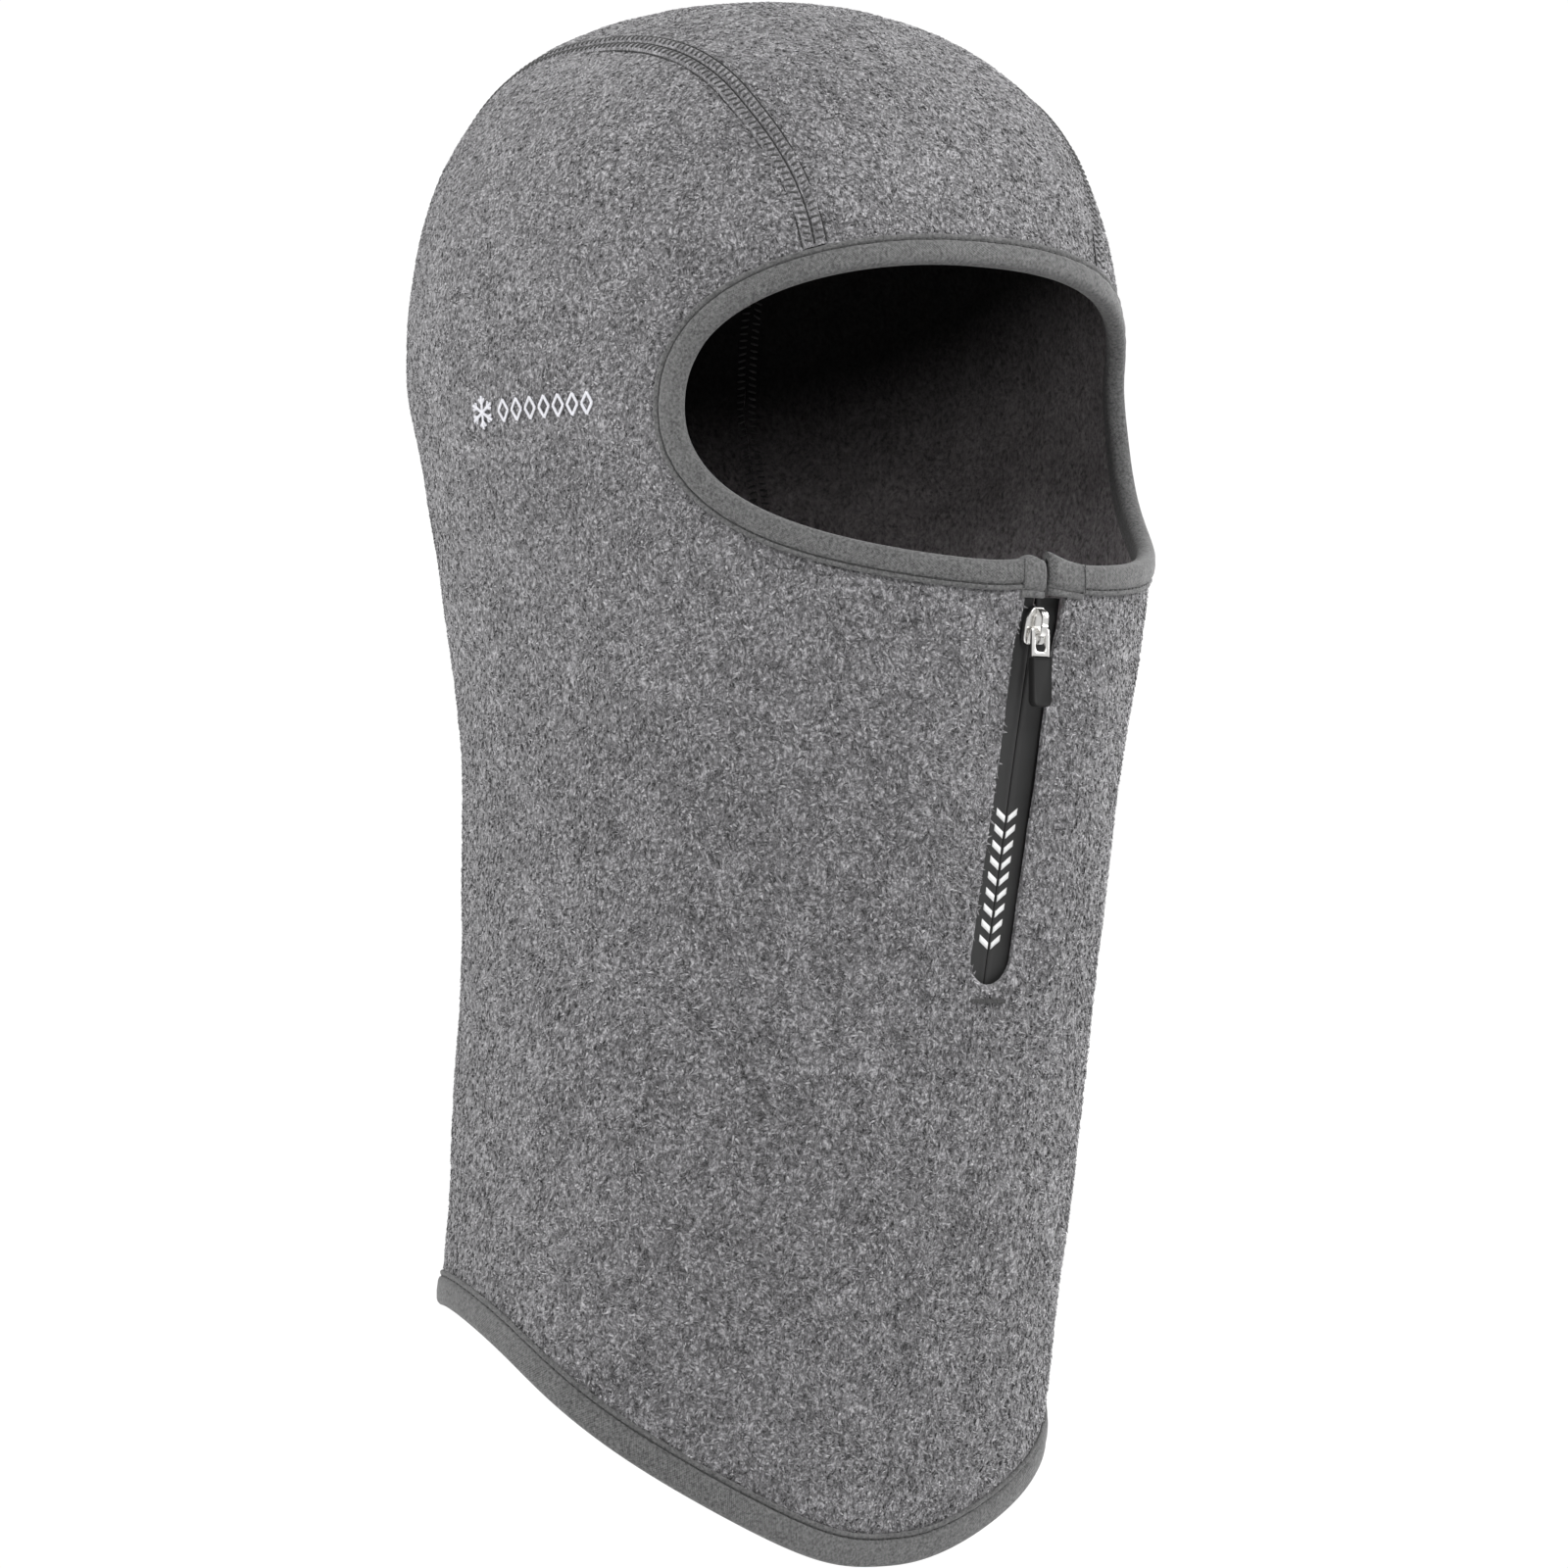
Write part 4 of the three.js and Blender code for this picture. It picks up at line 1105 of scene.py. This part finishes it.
# %% The flatlock seams
RIDGE = 1.42
SEAM_SECTION = np.array([
    (-2.85, -0.5), (-2.65, 0.05), (-2.3, 0.42), (-1.42, 0.64), (-0.55, 0.42), (-0.25, 0.02),
    (0.0, -0.2), (0.25, 0.02), (0.55, 0.42), (1.42, 0.64), (2.3, 0.42), (2.65, 0.05),
    (3.0, -0.45), (1.42, -0.7), (0.0, -0.72), (-1.42, -0.7)])
seam_start = (BINDING_WIDTH - CLOTH_INSET + 0.3) / whole_run
seam_stop = 1 - (HEM_BINDING_WIDTH - CLOTH_INSET + 0.3) / whole_run


def seam_ridges(name, sign):
    count = len(SEAM_SECTION)

    def place(u, v):
        share = seam_start + u * (seam_stop - seam_start)
        row = np.round(v * count).astype(int) % count
        at = strip_at(share, -1.0, SEAM_SECTION[row, 0])
        return raised(at, SEAM_SECTION[row, 1]) * (sign, 1, 1)

    return carried(name, place, 260, count, [grey_thread_fleece], (480.0, 9.0), True, True)


grey_thread_fleece = material("seam_cloth", heather, {
    "Dark": grey(64, LILAC), "Middle": grey(126, LILAC), "Light": grey(190, LILAC),
    "Streak Size": 0.8, "Drift": 0.4, "Tone": 0.48}, roughness=1.0, bump=(0.6, 0.4),
    Sheen_Weight=0.2, Specular_IOR_Level=0.1)
right_seam_ridges = seam_ridges("right_seam_ridges", 1)
left_seam_ridges = seam_ridges("left_seam_ridges", -1)


def seam_line_at(offset, height, pitch):
    """Points along the seam at an offset, a stitch apart, with their directions."""
    share = np.linspace(seam_start, seam_stop, 3000)
    line = raised(strip_at(share, -1.0, offset), height)
    run = np.concatenate([[0], np.cumsum(np.linalg.norm(np.diff(line, axis=0), axis=1))])
    at = np.arange(pitch, run[-1] - pitch, pitch)
    p = np.stack([np.interp(at, run, line[:, k]) for k in range(3)], -1)
    q = np.stack([np.interp(at + 0.2, run, line[:, k]) for k in range(3)], -1)
    return p, unit(q - p)


def seam_stitches(name, sign, seed):
    """Cross stitches over both ridges, outside and in."""
    random = np.random.default_rng(seed)
    rows = []
    for offset, height, pitch in ((-RIDGE, 0.62, 1.9), (RIDGE, 0.62, 1.9),
                                  (-RIDGE, -2.95, 1.9), (RIDGE, -2.95, 1.9)):
        p, along = seam_line_at(offset, height, pitch)
        z = outward(p)
        slant = random.normal(0.25 * np.sign(offset), 0.12, (len(p), 1))
        y = unit(np.cross(z, along) + slant * along)
        x = unit(np.cross(y, z))
        rows.append(frames_at(p, x, y, np.cross(x, y)))
    frames = np.concatenate(rows)
    if sign < 0:
        mirror = np.diag([-1.0, 1.0, 1.0, 1.0])
        frames = mirror @ frames @ mirror
    return stamped(name, capsule(2.2, 0.36, 6, 4), frames, [seam_thread])


def seam_threads(name, sign):
    """The dark threads between the ridges and beside them."""
    rows = []
    for offset, radius_up in ((-2.8, 0.12), (0.0, 0.05), (2.95, -0.12)):
        p, along = seam_line_at(offset, radius_up, 1.5)
        z = outward(p)
        x = unit(np.cross(along, z))
        rows.append(frames_at(p, x, along, np.cross(x, along)))
    frames = np.concatenate(rows)
    if sign < 0:
        mirror = np.diag([-1.0, 1.0, 1.0, 1.0])
        frames = mirror @ frames @ mirror
    return stamped(name, capsule(1.55, 0.24, 6, 4), frames, [dark_thread])


seam_thread = material("seam_thread", wear, {
    "Clean": grey(44), "Worn": grey(78), "Grain Size": 0.4, "Edge": 0.6,
    "Clean Roughness": 0.8, "Worn Roughness": 0.9}, bump=(0.4, 0.08), Sheen_Weight=0.15)
right_seam_stitches = seam_stitches("right_seam_stitches", 1, 21)
left_seam_stitches = seam_stitches("left_seam_stitches", -1, 22)
right_seam_threads = seam_threads("right_seam_threads", 1)
left_seam_threads = seam_threads("left_seam_threads", -1)
print("cross stitches:", len(right_seam_stitches.data.polygons) // 24)

# %% [markdown]
# ## The zip
# A reversed coil zip shows only its back: two film-faced tapes whose beaded edges
# meet in a fine groove, with the coils hidden behind. Everything on it is drafted in
# the zip's own frame, x across, y inwards and z up the line of travel, because the
# slider must run straight along it. One matrix then carries each piece to the chest.

# %% Tapes
LEAN = -math.asin(0.202449)
FOOT = Vector((0, -92.321, -262.0))
ZIP = Matrix.Translation(FOOT) @ Matrix.Rotation(-LEAN, 4, "X")
SLIDER = ZIP @ Matrix.Translation((0, 0, 97.25))
PULL = Matrix.Translation((0, -114.881, -168.682))
print("the zip leans", round(math.degrees(-LEAN), 1), "degrees; its top is at",
      [round(v, 1) for v in ZIP @ Vector((0, 0, 103.95))])


def by(matrix, p):
    """Points as an array, carried by a matrix."""
    m = np.array(matrix)
    return p @ m[:3, :3].T + m[:3, 3]


def fitted(bm, matrix, name, materials, smooth=True):
    """A bmesh drafted in millimetres, carried to its place in metres."""
    bmesh.ops.recalc_face_normals(bm, faces=bm.faces)
    bmesh.ops.transform(bm, matrix=Matrix.Scale(MM, 4) @ matrix, verts=bm.verts)
    return piece_from(bm, name, materials, smooth)


TAPE_SECTION = np.array([
    (0.12, 0.35), (0.13, 0.02), (0.3, -0.15), (0.75, -0.22), (1.3, -0.17), (1.9, -0.05),
    (2.5, 0.0), (4.0, 0.0), (5.6, 0.0), (6.6, 0.02), (8.3, 0.06), (8.5, 0.4), (8.3, 0.76),
    (5.0, 0.8), (2.4, 0.8), (1.0, 0.8), (0.35, 0.7)])


def film_front(x):
    return np.interp(x, TAPE_SECTION[1:11, 0], TAPE_SECTION[1:11, 1])


def tape(side):
    sign = -1 if side == "right" else 1
    count = len(TAPE_SECTION)

    def place(u, v):
        row = np.round(v * count).astype(int) % count
        x, y, z = TAPE_SECTION[row, 0], TAPE_SECTION[row, 1], u * 103.95
        x = x + 0.5 * smoothstep(92.5, 97, z) * np.clip(1 - x / 8, 0, 1)
        y = y + 0.05 * np.sin(z / 7 + sign) * (x > 2.4)
        z = np.maximum(z, 3.0 * smoothstep(5.5, 8.5, x) * (z < 3.0))
        return by(ZIP, np.stack([sign * x, y, z], -1))

    return carried(side + "_tape_film", place, 60, count, [zip_film], (104.0, 18.0), True, True)


right_tape, left_tape = tape("right"), tape("left")

# %% [markdown]
# The coil is one nylon filament wound in a spiral. A grid closed into a tube gives
# it: one direction goes round the wire, the other along the winding.

# %% Coils
COIL_PITCH, COIL_WIRE = 1.0, 0.24


def coil(side):
    sign = -1 if side == "right" else 1

    def place(u, v):
        turn = u * 2 * math.pi * 100.5 / COIL_PITCH
        centre = np.stack([1.5 + 0.54 * np.cos(turn), 1.9 + 0.54 * np.sin(turn),
                           1.1 + u * 100.5], -1)
        away = np.stack([np.cos(turn), np.sin(turn), 0 * turn], -1)
        wire = v * 2 * math.pi
        p = centre + COIL_WIRE * (away * np.cos(wire)[:, None]
                                  + np.array([0, 0, 1.0]) * np.sin(wire)[:, None])
        return by(ZIP, p * (sign, 1, 1))

    return carried(side + "_coil_spiral", place, 1000, 6, [coil_nylon], (340.0, 1.6), True, True)


right_coil, left_coil = coil("right"), coil("left")
print("coil:", len(right_coil.data.polygons), "faces")

# %% [markdown]
# Printed down the film is a plain row of chevrons, half on each tape. A print is
# almost nothing thick, so each arm is a thin strip that follows the film's bead.

# %% The chevron print
def chevrons(side):
    sign = -1 if side == "right" else 1
    bm = bmesh.new()
    bmesh.ops.create_grid(bm, x_segments=5, y_segments=1, size=0.5)
    for v in bm.verts:
        x = 0.5 + (v.co.x + 0.5) * 3.0
        v.co = (sign * x, float(film_front(x)) - 0.07, (x - 0.5) * 0.7 + (v.co.y + 0.5) * 1.75)
    front = bmesh.ops.extrude_face_region(bm, geom=bm.faces[:])["geom"]
    bmesh.ops.translate(bm, vec=(0, 0.06, 0),
                        verts=[g for g in front if isinstance(g, bmesh.types.BMVert)])
    bmesh.ops.recalc_face_normals(bm, faces=bm.faces)
    rows = np.tile(np.eye(4), (9, 1, 1))
    rows[:, 2, 3] = np.linspace(12.5, 45.5, 9)
    return stamped(side + "_tape_print", bm, np.array(ZIP) @ rows, [print_white])


right_print, left_print = chevrons("right"), chevrons("left")

# %% [markdown]
# ## Slider and pull
# The slider is die cast: two plates joined by a neck, with an arch on the front one.
# Each is drawn as an outline, filled, extruded to its thickness and bevelled, which
# is what casting and tumbling leave. The link is stamped flat with an eye through
# it, so its outer and inner outlines are bridged before they are extruded.

# %% Plates with eased edges
def outline_edges(bm, points, y):
    verts = [bm.verts.new((x, y, z)) for x, z in points]
    return [bm.edges.new(pair) for pair in zip(verts, verts[1:] + verts[:1])]


def eased_plate(bm, outer, y, thickness, ease, segments=2, eye=None):
    """An outline, with an eye if there is one, made solid and eased all round."""
    edges = outline_edges(bm, outer, y)
    if eye:
        edges += outline_edges(bm, eye, y)
        faces = bmesh.ops.bridge_loops(bm, edges=edges)["faces"]
    else:
        faces = bmesh.ops.contextual_create(bm, geom=edges)["faces"]
    grown = bmesh.ops.extrude_face_region(bm, geom=faces)["geom"]
    lifted = [g for g in grown if isinstance(g, bmesh.types.BMVert)]
    bmesh.ops.translate(bm, vec=(0, thickness, 0), verts=lifted)
    mine = {v for e in edges for v in e.verts} | set(lifted)
    bmesh.ops.recalc_face_normals(bm, faces=[f for f in bm.faces if set(f.verts) <= mine])
    rims = [e for e in bm.edges if set(e.verts) <= mine and len(e.link_faces) == 2
            and e.calc_face_angle(0) > 0.9]
    bmesh.ops.bevel(bm, geom=rims, offset=ease, offset_type="OFFSET", segments=segments,
                    profile=0.5, affect="EDGES", material=-1)
    return bm


def both_sides(half):
    """An outline from its right half, drawn from the bottom to the top."""
    return half + [(-x, z) for x, z in reversed(half)]


def rounded(half, low, high, low_round, high_round=0.3, steps=5):
    turn = [math.pi / 2 * i / steps for i in range(steps + 1)]
    return both_sides(
        [(half - low_round + low_round * math.sin(a), low + low_round - low_round * math.cos(a))
         for a in turn]
        + [(half - high_round + high_round * math.cos(a), high - high_round + high_round * math.sin(a))
           for a in turn])


# %% The slider
SLIDER_HALF = [(2.6, -5.3), (3.5, -4.7), (3.85, -3.6), (3.9, -0.2), (3.75, 0.9), (3.3, 2.0),
               (2.6, 3.2), (2.0, 4.1), (1.5, 4.5)]
body = bmesh.new()
eased_plate(body, both_sides(SLIDER_HALF), -2.0, 1.6, 0.45, 3)
eased_plate(body, both_sides(SLIDER_HALF), 3.1, 1.2, 0.35)
eased_plate(body, both_sides([(0.38, 1.0), (0.38, 4.0)]), -0.9, 4.4, 0.1)
eased_plate(body, both_sides([(0.9, -5.1), (1.35, -4.6), (1.45, -3.5), (1.2, -3.0)]),
            -2.55, 0.9, 0.25, 2)
for side in (-1, 1):
    flange = [(side * 3.1, -4.0), (side * 3.8, -3.2), (side * 3.8, 0.0), (side * 3.1, 0.5)]
    eased_plate(body, flange, 2.35, 1.1, 0.12)
slider_body = fitted(body, SLIDER, "slider_casting", [nickel])
print("slider casting:", len(slider_body.data.polygons), "faces")

# %% The arch on the slider
def arch_shape():
    """The arch, seen from its side: z along the zip against y outwards."""
    outer = [(4.2, -2.05), (4.1, -3.2), (3.5, -4.3), (2.4, -4.95), (0.0, -5.15), (-1.6, -5.1),
             (-2.6, -4.8), (-3.05, -4.1), (-3.1, -2.05)]
    inner = [(-2.4, -2.05), (-2.4, -3.9), (-2.05, -4.3), (1.8, -4.25), (2.4, -3.7), (2.7, -2.05)]
    return outer + inner


bm = bmesh.new()
verts = [bm.verts.new((-1.0, y, z)) for z, y in arch_shape()]
grown = bmesh.ops.extrude_face_region(bm, geom=[bm.faces.new(verts)])["geom"]
bmesh.ops.translate(bm, vec=(2.0, 0, 0),
                    verts=[g for g in grown if isinstance(g, bmesh.types.BMVert)])
bmesh.ops.recalc_face_normals(bm, faces=bm.faces)
top = [f for f in bm.faces if f.normal.y < -0.9 and f.calc_center_median().z > 0.2]
recess = bmesh.ops.inset_region(bm, faces=top, thickness=0.5, depth=0.0)["faces"]
bmesh.ops.translate(bm, vec=(0, 0.55, 0), verts=list({v for f in top for v in f.verts}))
sharp = [e for e in bm.edges if len(e.link_faces) == 2 and e.calc_face_angle(0) > 0.9]
bmesh.ops.bevel(bm, geom=sharp, offset=0.16, offset_type="OFFSET", segments=2, profile=0.5,
                affect="EDGES", material=-1)
slider_arch = fitted(bm, SLIDER, "slider_arch", [nickel])
print("recessed faces in the arch:", len(top), len(recess))

# %% The link and the grip
link = bmesh.new()
eye = rounded(1.75, -5.5, -0.5, 1.0, 0.6)
eased_plate(link, rounded(3.0, -6.9, 0.56, 0.35, 0.9), -0.52, 1.04, 0.24, 2, eye)
link_frame = fitted(link, PULL, "pull_link_frame", [nickel])

grip = bmesh.new()
eased_plate(grip, rounded(3.2, -19.6, -7.0, 1.7, 0.25, 7), -1.2, 2.15, 0.35, 3)
front = [f for f in grip.faces if f.normal.y < -0.99 and f.calc_area() > 20]
bmesh.ops.inset_region(grip, faces=front, thickness=0.42, depth=0.0)
bmesh.ops.translate(grip, vec=(0, 0.14, 0), verts=list({v for f in front for v in f.verts}))
pull_grip = fitted(grip, PULL, "pull_grip_moulding", [grip_rubber])
print("grip:", len(pull_grip.data.polygons), "faces")

# %% [markdown]
# ## Embroidery and the tack
# Satin stitch lays short threads side by side across a line. A line is given by its
# two ends, and the threads are stamped across it at a fixed pitch. The badge on the
# temple is a plain snow crystal and a row of lozenges; below the zip a dense bar of
# thread stops the opening from tearing.

# %% The badge
BADGE_Z = -110.2


def badge_point(a, b):
    """A point of the badge: a forwards and b up, from its middle line."""
    a, b = np.broadcast_arrays(np.asarray(a, float), np.asarray(b, float))
    return onto_skin(np.stack([0 * a - 88.0, -a, BADGE_Z + b], -1))


def satin_frames(start, stop, pitch, slant=0.35):
    """Placements of threads laid across the line from start to stop."""
    start, stop = np.array(start, float), np.array(stop, float)
    count = max(2, int(np.linalg.norm(stop - start) / pitch))
    at = start + (stop - start) * np.linspace(0.03, 0.97, count)[:, None]
    along = (stop - start) / np.linalg.norm(stop - start)
    across = np.array([-along[1], along[0]]) + slant * along
    p = badge_point(at[:, 0], at[:, 1])
    y = unit(badge_point(at[:, 0] + across[0], at[:, 1] + across[1]) - p)
    z = outward(p)
    x = unit(np.cross(y, z))
    return frames_at(raised(p, np.full(len(p), 0.62)), x, y, np.cross(x, y))


def crystal(a, b, radius):
    lines = []
    for k in range(6):
        turn = math.radians(30 + 60 * k)
        tip = (a + radius * math.cos(turn), b + radius * math.sin(turn))
        lines.append(((a, b), tip))
        for share, swing in ((0.55, 0.75), (0.55, -0.75)):
            foot = (a + share * radius * math.cos(turn), b + share * radius * math.sin(turn))
            lines.append((foot, (foot[0] + 1.5 * math.cos(turn + swing),
                                 foot[1] + 1.5 * math.sin(turn + swing))))
    return lines


def lozenge(a, b, half_wide, half_tall):
    corners = [(a + half_wide, b), (a, b + half_tall), (a - half_wide, b), (a, b - half_tall)]
    return list(zip(corners, corners[1:] + corners[:1]))


badge = crystal(-1.6, 0.0, 4.3)
for k in range(7):
    badge += lozenge(7.0 + 5.25 * k, 0.0, 1.9, 2.8)
badge_frames = np.concatenate([satin_frames(a, b, 0.3) for a, b in badge])
side_badge = stamped("temple_badge", capsule(0.95, 0.17, 6, 4), badge_frames, [white_thread])
print("badge threads:", len(badge_frames))

# %% The tack below the window
random = np.random.default_rng(31)
tack_x = np.linspace(-5.4, 5.4, 26)
p = skin(np.arctan2(-tack_x, 92.0), -263.0)
p = raised(p, 0.3 + 0.14 * random.random(len(p)))
z = outward(p)
y = unit(np.array([0.0, 0.0, 1.0]) + random.normal(0, 0.12, (len(p), 1)) * np.array([1.0, 0, 0])
         - z * z[:, 2:3])
x = unit(np.cross(y, z))
foot_tack = stamped("window_foot_tack", capsule(1.3, 0.24, 6, 4),
                    frames_at(p, x, y, np.cross(x, y)), [seam_thread])

# %% [markdown]
# ## What each piece stands for
# Each piece that rides is attached to the body that carries it, the hood, a flap of
# the collar, the slider or the pull, and the model's node that it replaces is hidden.
# The hood itself rides on one body. The collar's two halves, their pile, and the jaw
# bindings and their stitches are only fixed where they lie, with the model's nodes that
# they replace hidden; no body carries them.


def rides(body, slot, nodes, *objects):
    for obj in objects:
        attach(obj, body)
        if nodes:
            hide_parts(*nodes)


def bends(side, slot, nodes, *objects):
    for obj in objects:
        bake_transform(obj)
        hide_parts(*nodes)


hands = {"right": (right_wrap, right_pile, right_binding, right_stitches, right_end, right_tack,
                   right_tape, right_print, right_coil, right_seam_ridges, right_seam_stitches,
                   right_seam_threads),
         "left": (left_wrap, left_pile, left_binding, left_stitches, left_end, left_tack,
                  left_tape, left_print, left_coil, left_seam_ridges, left_seam_stitches,
                  left_seam_threads)}
for side, (wrap, nap, jaw, stitches, end, tack, film, mark, spiral, ridges, cross, threads) \
        in hands.items():
    bends(side, "fleece", ["wrap_panel"], wrap, nap)
    bends(side, "edge_knit", ["face_binding"], jaw)
    bends(side, "grey_thread", ["face_stitching"], stitches)
    rides(side + "_flap", "edge_knit", [side + "_binding_end"], end, tack)
    rides(side + "_flap", "zip_film", [side + "_zip_tape"], film, mark)
    rides(side + "_flap", "coil_nylon", [side + "_zip_coil"], spiral)
    rides("hood", "grey_thread", [side + "_crown_seam"], ridges, cross, threads)
rides("hood", "fleece", ["crown_panel"], crown, crown_pile)
rides("hood", "edge_knit", ["face_binding"], upper_binding)
rides("hood", "grey_thread", ["face_stitching"], brow_stitches)
rides("hood", "edge_knit", ["hem_binding"], hem_binding)
rides("hood", "grey_thread", ["hem_stitching"], hem_stitches)
rides("hood", "white_thread", ["side_embroidery"], side_badge)
rides("hood", "grey_thread", ["zip_foot_bartack"], foot_tack)
rides("slider", "nickel", ["slider_body"], slider_body)
rides("slider", "nickel", ["slider_bridge"], slider_arch)
rides("pull", "nickel", ["pull_link"], link_frame)
rides("pull", "grip_rubber", ["pull_grip"], pull_grip)

for name, finish_of in (("right_top_stop", nickel), ("left_top_stop", nickel),
                        ("bottom_stop", nickel), ("embroidery_backing", backing_felt)):
    for slot_of in bpy.data.objects[name].material_slots:
        slot_of.material = finish_of

# %% [markdown]
# The three fleece pieces are sheets, cut flat a little smaller than they lie here,
# because the knit is stretched over the head.

# %% [markdown]
# ## Camera, light and floor
# The camera looks slightly up at the hood from its right front. A long lens keeps
# the shape calm. One broad light gives the soft modelling, a weaker one fills the
# other side, and two at the back lift the rims. The world is white to the camera
# and softer as a light.

# %% The camera
scene = bpy.context.scene
turn, tilt, far = math.radians(40), math.radians(-2.2), 2.0
back = Vector((-math.sin(turn) * math.cos(tilt), -math.cos(turn) * math.cos(tilt), math.sin(tilt)))
right = Vector((math.cos(turn), -math.sin(turn), 0))
up = back.cross(right)
lens = bpy.data.cameras.new("camera")
lens.sensor_width, lens.lens = 36, 172.3
camera = bpy.data.objects.new("camera", lens)
camera.location = Vector((0, 0, -0.207)) + far * back + 0.008616 * right + 0.002454 * up
camera.rotation_euler = (-back).to_track_quat("-Z", "Y").to_euler()
scene.collection.objects.link(camera)
scene.camera = camera

# %% Lights, world and floor
def lamp(name, azimuth, height, distance, size, power, tint=(1, 1, 1)):
    light = bpy.data.lights.new(name, "AREA")
    light.shape, light.size, light.energy, light.color = "DISK", size, power, tint
    made = bpy.data.objects.new(name, light)
    a = math.radians(azimuth)
    made.location = Vector((-math.sin(a) * distance, -math.cos(a) * distance, height))
    towards = Vector((0, 0, -0.2)) - made.location
    made.rotation_euler = towards.to_track_quat("-Z", "Y").to_euler()
    scene.collection.objects.link(made)


lamp("key", 78, 0.7, 1.3, 0.9, 8)
lamp("front", 10, 0.75, 1.4, 0.5, 13)
lamp("fill", -62, 0.45, 1.4, 1.1, 17.5)
lamp("rim_near", 140, 0.2, 1.3, 0.8, 11)
lamp("rim_far", -120, 0.2, 1.3, 0.7, 14)

world = bpy.data.worlds.new("studio")
world.use_nodes = True
scene.world = world
tree = world.node_tree
backdrop = next(n for n in tree.nodes if n.bl_idname == "ShaderNodeBackground")
backdrop.inputs["Color"].default_value = (1, 1, 1, 1)
path = node(tree, "LightPath").outputs
mirrored_part = math_node(tree, "MULTIPLY_ADD", path["Is Glossy Ray"], 0.4, 0.34)
tree.links.new(math_node(tree, "MULTIPLY_ADD", path["Is Camera Ray"], 0.7, mirrored_part),
               backdrop.inputs["Strength"])

bm = bmesh.new()
bmesh.ops.create_circle(bm, cap_ends=True, segments=64, radius=4.0)
bmesh.ops.translate(bm, vec=(0, 0, -1.2), verts=bm.verts)
floor_paper = material("floor_paper", wear, {
    "Clean": grey(250), "Worn": grey(246), "Grain Size": 3.0, "Edge": 0.0,
    "Clean Roughness": 0.9, "Worn Roughness": 0.95}, bump=(0.05, 0.1),
    Emission_Color=(1, 1, 1, 1), Emission_Strength=0.25)
tree = floor_paper.node_tree
shader = next(n for n in tree.nodes if n.bl_idname == "ShaderNodeBsdfPrincipled")
seen = node(tree, "LightPath").outputs["Is Camera Ray"]
tree.links.new(math_node(tree, "MULTIPLY_ADD", seen, 0.35, 0.25),
               shader.inputs["Emission Strength"])
floor = piece_from(bm, "floor", [floor_paper])
scene.view_settings.view_transform = "Standard"
